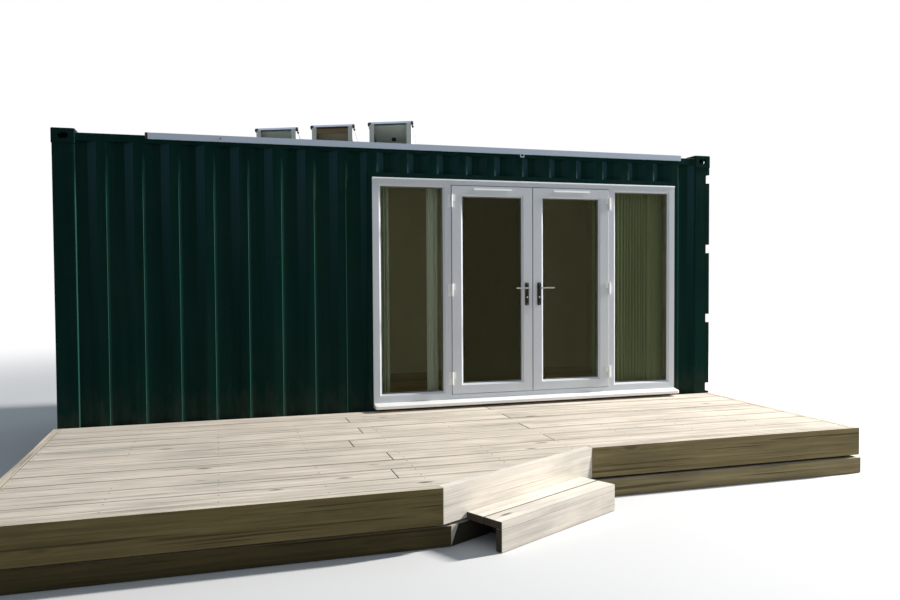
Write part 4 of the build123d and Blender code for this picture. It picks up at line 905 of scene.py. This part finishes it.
def deck():
    """The deck's planks, cut off at the slanting edge board."""
    low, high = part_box("deck_boards")
    shape = [v.co for v in NODES["deck_boards"].data.vertices]
    long_end = max((v for v in shape if v.y < low.y + 0.001), key=lambda v: v.x)
    short_end = min((v for v in shape if v.x > long_end.x + 0.01), key=lambda v: v.x + 0.001 * v.z)
    corners = [Vector((place.x, place.y, 0)) for place in (long_end, short_end)]
    run = (corners[1] - corners[0]).normalized()
    cut = (corners[0], (-run.y, run.x, 0))
    dice = random.Random(11)
    pitch = (high.y - low.y) / DECK_ROWS
    planks = []
    for row in range(DECK_ROWS):
        back = high.y - row * pitch - DECK_GAP / 2
        front = back - pitch + DECK_GAP
        whole = front > short_end.y
        right = high.x if whole else short_end.x + 0.3
        joint = DECK_JOINTS.get(row)
        runs = [(low.x, joint - 0.002), (joint + 0.002, right)] if joint else [(low.x, right)]
        for start, end in runs:
            slanted = None if whole or end < right else cut
            planks.append(plank((start + PLANK_INSET, front, low.z),
                                (end - PLANK_INSET, back, high.z - PLANK_DROP), 0.003, dice, slanted))
    strip_back = high.y - (DECK_ROWS - 3) * pitch - DECK_GAP / 2
    planks.append(plank((short_end.x + 0.03, short_end.y + 0.002, low.z),
                        (high.x - PLANK_INSET, strip_back, high.z - 0.0015), 0.002, dice))
    made = joined("deck_planks", planks)
    grain_by_boards(made, 5, lambda middle, along: 0.70 - 0.06 * middle.x / 3, 0.07)
    dress(smooth(made), DECKING, "timber", "deck_boards")


deck()


def slants(along):
    """Whether a board runs along the deck's slanting edge."""
    return 0.2 < abs(along.y) < 0.9


def edge_tone(middle, along):
    """Painted light and shade: the slanting board in the light is pale, the boards beside it are darker."""
    if slants(along):
        return 0.95
    if abs(along.y) > 0.9:
        return -0.45
    return -0.30 if middle.x < 0 else 0.04


def skirt_tone(middle, along):
    """Painted light and shade: pale under the slanting board, brown under the right-hand one, and dark
    painted shade elsewhere.
    """
    if slants(along):
        return 0.8
    return 0.12 if middle.x > 0.7 and middle.y < -3 else -0.75


def boards_apart(obj, name, node):
    """Takes the pale slanting board off into a piece of its own."""
    slanting = set()
    for group in islands(obj.data):
        start = obj.data.vertices[group[0]].co
        run = max((obj.data.vertices[i].co - start for i in group), key=lambda v: v.length)
        if slants(run.normalized()):
            slanting.update(group)
    pick(obj, "VERT", lambda vert: vert.index in slanting)
    bpy.ops.mesh.separate(type="SELECTED")
    leave()
    other = next(made for made in bpy.context.selected_objects if made != obj)
    other.name = other.data.name = name
    dress(other, STEP_BOARD, "timber", node)
    dress(obj, EDGE_BOARD, "timber", node)


def skirt():
    """The boards below the deck's edge, dark where the step's shade falls on them."""
    obj = ease(node_copy("deck_skirt", "deck_skirt_boards"), 0.004)
    step_start = min(v.co.dot(STEP_ALONG) for v in NODES["step_treads"].data.vertices)
    shade_start = STEP_ALONG * (step_start - SHADE_REACH)
    shade_line = STEP_ALONG + Vector((0, 0, -0.5))
    slice_along(obj, shade_start, shade_line.normalized())
    grain_by_boards(obj, 4, skirt_tone, 0.02)
    paint_shade(obj, -0.9, lambda face: face.normal.dot(STEP_FRONT) > 0.9
          and (face.center - shade_start).dot(shade_line) > 0)
    boards_apart(smooth(obj), "deck_slanting_skirt", "deck_skirt")


boards_apart(boards("deck_fascia", "deck_edge_boards", 0.004, 3, edge_tone, 0.03),
             "deck_slanting_board", "deck_fascia")
skirt()

STEP_PLACES = [v.co.dot(STEP_FRONT) for v in NODES["step_treads"].data.vertices]
STEP_MIDDLE = (min(STEP_PLACES) + max(STEP_PLACES)) / 2


def step_shade(face):
    """The step's faces in painted shade: left ends, undersides, the inside of its box and the gap in its
    tread.
    """
    ahead = face.normal.dot(STEP_FRONT)
    in_gap = ahead > 0.6 and face.center.dot(STEP_FRONT) < STEP_MIDDLE
    return in_gap or ahead < -0.6 or face.normal.dot(STEP_ALONG) < -0.6 or face.normal.z < -0.6


for node, tone in (("step_treads", 0.95), ("step_box", 0.9)):
    made = boards(node, f"{node}_boards", 0.004, 7, lambda middle, along: tone, 0.03)
    paint_shade(made, -0.8, step_shade)
    dress(made, STEP_BOARD, "timber_light", node)
# The joists and ledger under the deck get painted shade, a tone below zero
for node in ("deck_joists", "deck_ledger"):
    made = boards(node, f"{node}_boards", 0.002, 7, lambda middle, along: -0.5, 0.03)
    dress(made, DECKING, "timber", node)
dress(boards("sleepers", "sleeper_timbers", 0.008, 9, None, 0.3), SLEEPER, "timber", "sleepers")


def screws():
    """Countersunk screw heads where the planks cross the joists."""
    low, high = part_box("deck_boards")
    pitch = (high.y - low.y) / DECK_ROWS
    head = smooth(raise_face(rod((0, 0, -0.002), (0, 0, 0), 0.0045, 10), (0, 0, 1), 0.0022, -0.0012))
    heads = []
    for joist_low, joist_high in solids("deck_joists"):
        x = (joist_low.x + joist_high.x) / 2
        for row in range(DECK_ROWS):
            for share in (0.2, 0.8):
                y = high.y - (row + share) * pitch
                if y >= joist_low.y:
                    made = new_object("screw_head", head.data.copy())
                    heads.append(settle(made, Matrix.Translation((x, y, high.z - PLANK_DROP))))
    bpy.data.objects.remove(head)
    dress(joined("deck_screws", heads), SCREW, "timber", body=CABIN)


screws()


# Room
def floor_planks():
    """Pale floorboards along the room."""
    low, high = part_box("floor")
    dice = random.Random(21)
    pitch = (high.y - low.y) / FLOOR_ROWS
    planks = []
    for row in range(FLOOR_ROWS):
        y = low.y + row * pitch
        joint = dice.uniform(low.x + 1.2, high.x - 1.2)
        for start, end in ((low.x, joint - 0.0005), (joint + 0.0005, high.x)):
            piece = block((start, y + 0.0004, low.z), (end, y + pitch - 0.0004, high.z))
            planks.append(ease(piece, 0.0012, 1))
    made = joined("floor_planks", planks)
    grain_by_boards(made, 6, None, 0.25)
    dress(smooth(made), FLOORING, "interior_wood", "floor")


floor_planks()


# These CAD pieces keep their own shape and get the better material
for node, finish in (("lining_back", LINING), ("lining_front", LINING), ("lining_over_doors", LINING),
                     ("lining_ends", LINING), ("ceiling_lining", CEILING)):
    for place in NODES[node].material_slots:
        place.material = finish
eased("curtain_rail", 0.001, CHROME, "bright_metal")


def curtain_rings(name, low, high, folds):
    """The rings that hang a curtain on its rail, one at each fold."""
    rings = []
    for i in range(folds + 1):
        place = (low.x + (high.x - low.x) * (0.03 + 0.94 * i / folds), (low.y + high.y) / 2, high.z + 0.0125)
        bpy.ops.mesh.primitive_torus_add(major_radius=0.0155, minor_radius=0.0018, major_segments=24,
                                         minor_segments=8, location=place,
                                         rotation=(0, math.radians(84), 0))
        rings.append(only(settle(bpy.context.object)))
        bpy.ops.object.shade_smooth()
    return dress(joined(name, rings), CHROME, "bright_metal", body=CABIN)


def curtain(name, low, high, folds, seed, finish):
    """Gathered cloth: deep folds at the rail that spread and wander towards the hem."""
    dice = random.Random(seed)
    across, down = folds * 14, 46
    bpy.ops.mesh.primitive_grid_add(x_subdivisions=across, y_subdivisions=down, size=1)
    obj = bpy.context.object
    obj.name = name
    weave = obj.data.attributes.new("weave", "FLOAT_VECTOR", "POINT")
    wander = [(dice.uniform(0.3, 1.0), dice.uniform(0, 6)) for i in range(4)]
    crowd = [(dice.uniform(0.4, 1.0), dice.uniform(0, 6)) for i in range(4)]
    width, height, middle = high.x - low.x, high.z - low.z, (low.y + high.y) / 2
    reach = (high.y - low.y) / 2 - 0.004
    for i, vert in enumerate(obj.data.vertices):
        u, v = vert.co.x + 0.5, vert.co.y + 0.5
        weave.data[i].vector = (u * width * 2, v * height, 0)
        drift = sum(0.012 / folds * 6 * a * math.sin(math.tau * (u * (k + 1) + a * v) + b)
                    for k, (a, b) in enumerate(wander)) * (1 - 0.7 * v)
        bunch = sum(0.030 * a / (k + 1) * math.sin(math.tau * u * (k + 1) + b)
                    for k, (a, b) in enumerate(crowd))
        phase = math.tau * folds * (u + bunch + drift * 0.35)
        depth = reach * (0.66 + 0.34 * math.sin(1.7 * u * math.tau + wander[0][1])) * (0.8 + 0.2 * v)
        x = low.x + width * (0.03 + 0.94 * u) + 0.22 * width / folds * math.sin(2 * phase) * 0.45
        vert.co = Vector((x, middle + depth * math.cos(phase), low.z + height * v))
    modify(obj, "SOLIDIFY", thickness=0.0008, offset=0)
    only(obj)
    bpy.ops.object.shade_smooth()
    dress(obj, finish, "cloth", body=CABIN)
    rings = curtain_rings(f"{name}_rings", low, high, folds)
    return obj


cloths = []
for number, (low, high) in enumerate(solids("curtains")):
    if high.x - low.x > 0.3:
        low.x -= WIDE_CURTAIN_PAST[0]
        high.x += WIDE_CURTAIN_PAST[1]
    folds = max(3, round((high.x - low.x) / CURTAIN_FOLD))
    cloths.append(curtain(f"curtain_{number + 1}", low, high, folds, 30 + number, CURTAINS[number]))
for cloth in cloths:
    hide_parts("curtains")

# Roof edge trim
eased("roof_edge_trim", 0.0006, TRIM, "trim")


def trim_fixings():
    """The dark clip at the trim's left end, one screw head and the small pale hook below it."""
    low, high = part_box("roof_edge_trim")
    clip = block((low.x - 0.022, low.y + 0.001, low.z + 0.002), (low.x + 0.006, high.y, high.z + 0.001))
    pick(clip, "EDGE", along_axis(1))
    bpy.ops.mesh.bevel(offset=0.005, segments=2)
    leave()
    x, z = TRIM_SCREW
    head = rod((x, low.y - 0.002, z), (x, low.y + 0.004, z), 0.006, 14)
    both = joined("trim_clip_and_screw", [ease(clip, 0.001), ease(head, 0.001)])
    dress(both, GASKET, "dark_metal", body=CABIN)
    (left, foot), (right, top) = TRIM_HOOK
    hook = ring((left, low.y - 0.001, foot), (right, low.y + 0.008, top), 0.007)
    dress(ease(hook, 0.001), TRIM, "trim", body=CABIN).name = "trim_hook"


trim_fixings()


# Solar units
def tilted_matrix(step):
    """A unit's panel: X along it, Y up its slope to the front edge, Z out of its glass."""
    place = (ROW_CENTRE[0] + step * ROW_PITCH * math.cos(ROW_TURN),
             ROW_CENTRE[1] + step * ROW_PITCH * math.sin(ROW_TURN), ROOF)
    run, rise = math.cos(UNIT_TILT), math.sin(UNIT_TILT)
    slope = Matrix(((-1, 0, 0, 0), (0, -run, rise, UNIT_LENGTH * run), (0, rise, run, 0), (0, 0, 0, 1)))
    return Matrix.Translation(place) @ Matrix.Rotation(UNIT_TURN, 4, "Z") @ slope


eased("solar_panel_frames", 0.0015, ALUMINIUM, "aluminium")
eased("solar_panel_stands", 0.0008, UNIT_SIDE, "aluminium")
eased("solar_panel_cells", 0.001, CELLS, "cells")
made = boards("roof_timber", "roof_timber_boards", 0.002, 12,
              lambda middle, along: 0.45 if middle.x > -0.5 else 0.2, 0.02)
dress(made, SURROUND, "timber", "roof_timber")


def unit_fittings():
    """Each unit's corner caps, side knobs, back sheet and junction box."""
    caps, boxes = [], []
    inner = UNIT_WIDTH / 2 - UNIT_RIM - 0.0003
    for step in (-1, 0, 1):
        tilt = tilted_matrix(step)
        for side in (-1, 1):
            x = side * UNIT_WIDTH / 2
            cap = block((x - 0.016, UNIT_LENGTH - 0.030, -0.006),
                        (x + 0.006 * side + 0.010, UNIT_LENGTH + 0.002, UNIT_DEPTH - 0.002))
            caps.append(settle(ease(cap, 0.004, 3), tilt))
            knob_level = UNIT_LENGTH - 0.055
            knob = rod((x, knob_level, 0.006), (x + side * 0.014, knob_level, 0.006), 0.010, 14)
            caps.append(settle(ease(knob, 0.0025), tilt))
        sheet = block((-inner, UNIT_RIM + 0.0003, 0.0085), (inner, UNIT_LENGTH - UNIT_RIM - 0.0003, 0.0122))
        raise_face(sheet, (0, 0, -1), 0.012, -0.0012)
        sheet = settle(ease(sheet, 0.0005, 1), tilt)
        sheet.name = f"solar_back_sheet_{step + 2}"
        dress(sheet, UNIT_BOARDS[step + 1], "aluminium", body=CABIN)
        box = raise_face(block((-0.018, 0.218, -0.010), (0.018, 0.246, 0.0095)), (0, 0, -1), 0.004, 0.004)
        boxes.append(settle(ease(box, 0.002), tilt))
    dress(joined("solar_unit_caps", caps), GASKET, "dark_metal", body=CABIN)
    dress(joined("solar_junction_boxes", boxes), GASKET, "dark_metal", body=CABIN)


unit_fittings()

# Camera
turn = (Matrix.Rotation(CAMERA_YAW, 4, "Z") @ Matrix.Rotation(CAMERA_PITCH, 4, "X")
        @ Matrix.Rotation(CAMERA_ROLL, 4, "Y") @ Matrix.Rotation(math.radians(90), 4, "X"))
lens = bpy.data.cameras.new("view")
lens.lens, lens.sensor_width = CAMERA_LENS, 36
lens.shift_x, lens.shift_y = CAMERA_SHIFT
lens.clip_end = 300
camera = new_object("view", lens)
camera.matrix_world = Matrix.Translation(CAMERA_PLACE) @ turn
bpy.context.scene.camera = camera


# Light and backdrop
def lamp(name, place, aim, size, power, colour):
    """A soft rectangular lamp that looks at a point."""
    made = bpy.data.lights.new(name, "AREA")
    made.shape, made.energy, made.color = "RECTANGLE", power, colour
    made.size, made.size_y = size
    obj = new_object(name, made)
    obj.location = place
    obj.rotation_euler = (Vector(aim) - Vector(place)).to_track_quat("-Z", "Y").to_euler()


def soft_sky(name, colour, strength):
    """A pale sky that lights the part, white where the camera looks."""
    world = bpy.data.worlds.new(name)
    bpy.context.scene.world = world
    sky = Wiring(world, "Background", "World Output")
    sky.shader.inputs["Color"].default_value = opaque(colour)
    sky.shader.inputs["Strength"].default_value = strength
    sky.blend_with(sky.node("Background", {"Color": (1, 1, 1, 1)}), sky.looked_at())


def studio_floor(name, fade_start, fade_end, bounce):
    """A pale floor that fades to white far out and throws back less light than it shows."""
    bpy.ops.mesh.primitive_plane_add(size=120, location=(0, 0, -0.002))
    ground = settle(bpy.context.object)
    ground.name = name
    pale = Finish(name, Roughness=0.9, Specular_IOR_Level=0.1)
    away = pale.node("VectorMath", {0: pale.place((1, 1, 0))}, operation="LENGTH").outputs["Value"]
    far = pale.node("MapRange", {"Value": away, "From Min": fade_start, "From Max": fade_end},
                    interpolation_type="SMOOTHSTEP").outputs["Result"]
    looked_at = pale.looked_at()
    clouds = pale.ramp(pale.noise(pale.place(), 0.4, 2, 0.5), (0.3, 0.78), (0.7, 0.80))
    pale.set("Base Color", pale.mix(looked_at, bounce, clouds))
    glow = pale.node("Emission", {"Color": (1, 1, 1, 1)})
    pale.blend_with(glow, pale.maths("MULTIPLY", far, looked_at))
    ground.data.materials.append(pale.made)
    return ground


lamp("key", place=(15.5, -1.92, 9.5), aim=(0.3, -1.8, 0.7), size=(0.6, 3.0), power=5700,
     colour=(1.0, 0.97, 0.93))
soft_sky("studio", colour=(0.74, 0.87, 1.0), strength=0.32)
ground = studio_floor("studio_floor", fade_start=4.6, fade_end=13.0, bounce=0.45)
ground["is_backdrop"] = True

bpy.context.scene.view_settings.view_transform = "Standard"

low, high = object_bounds()
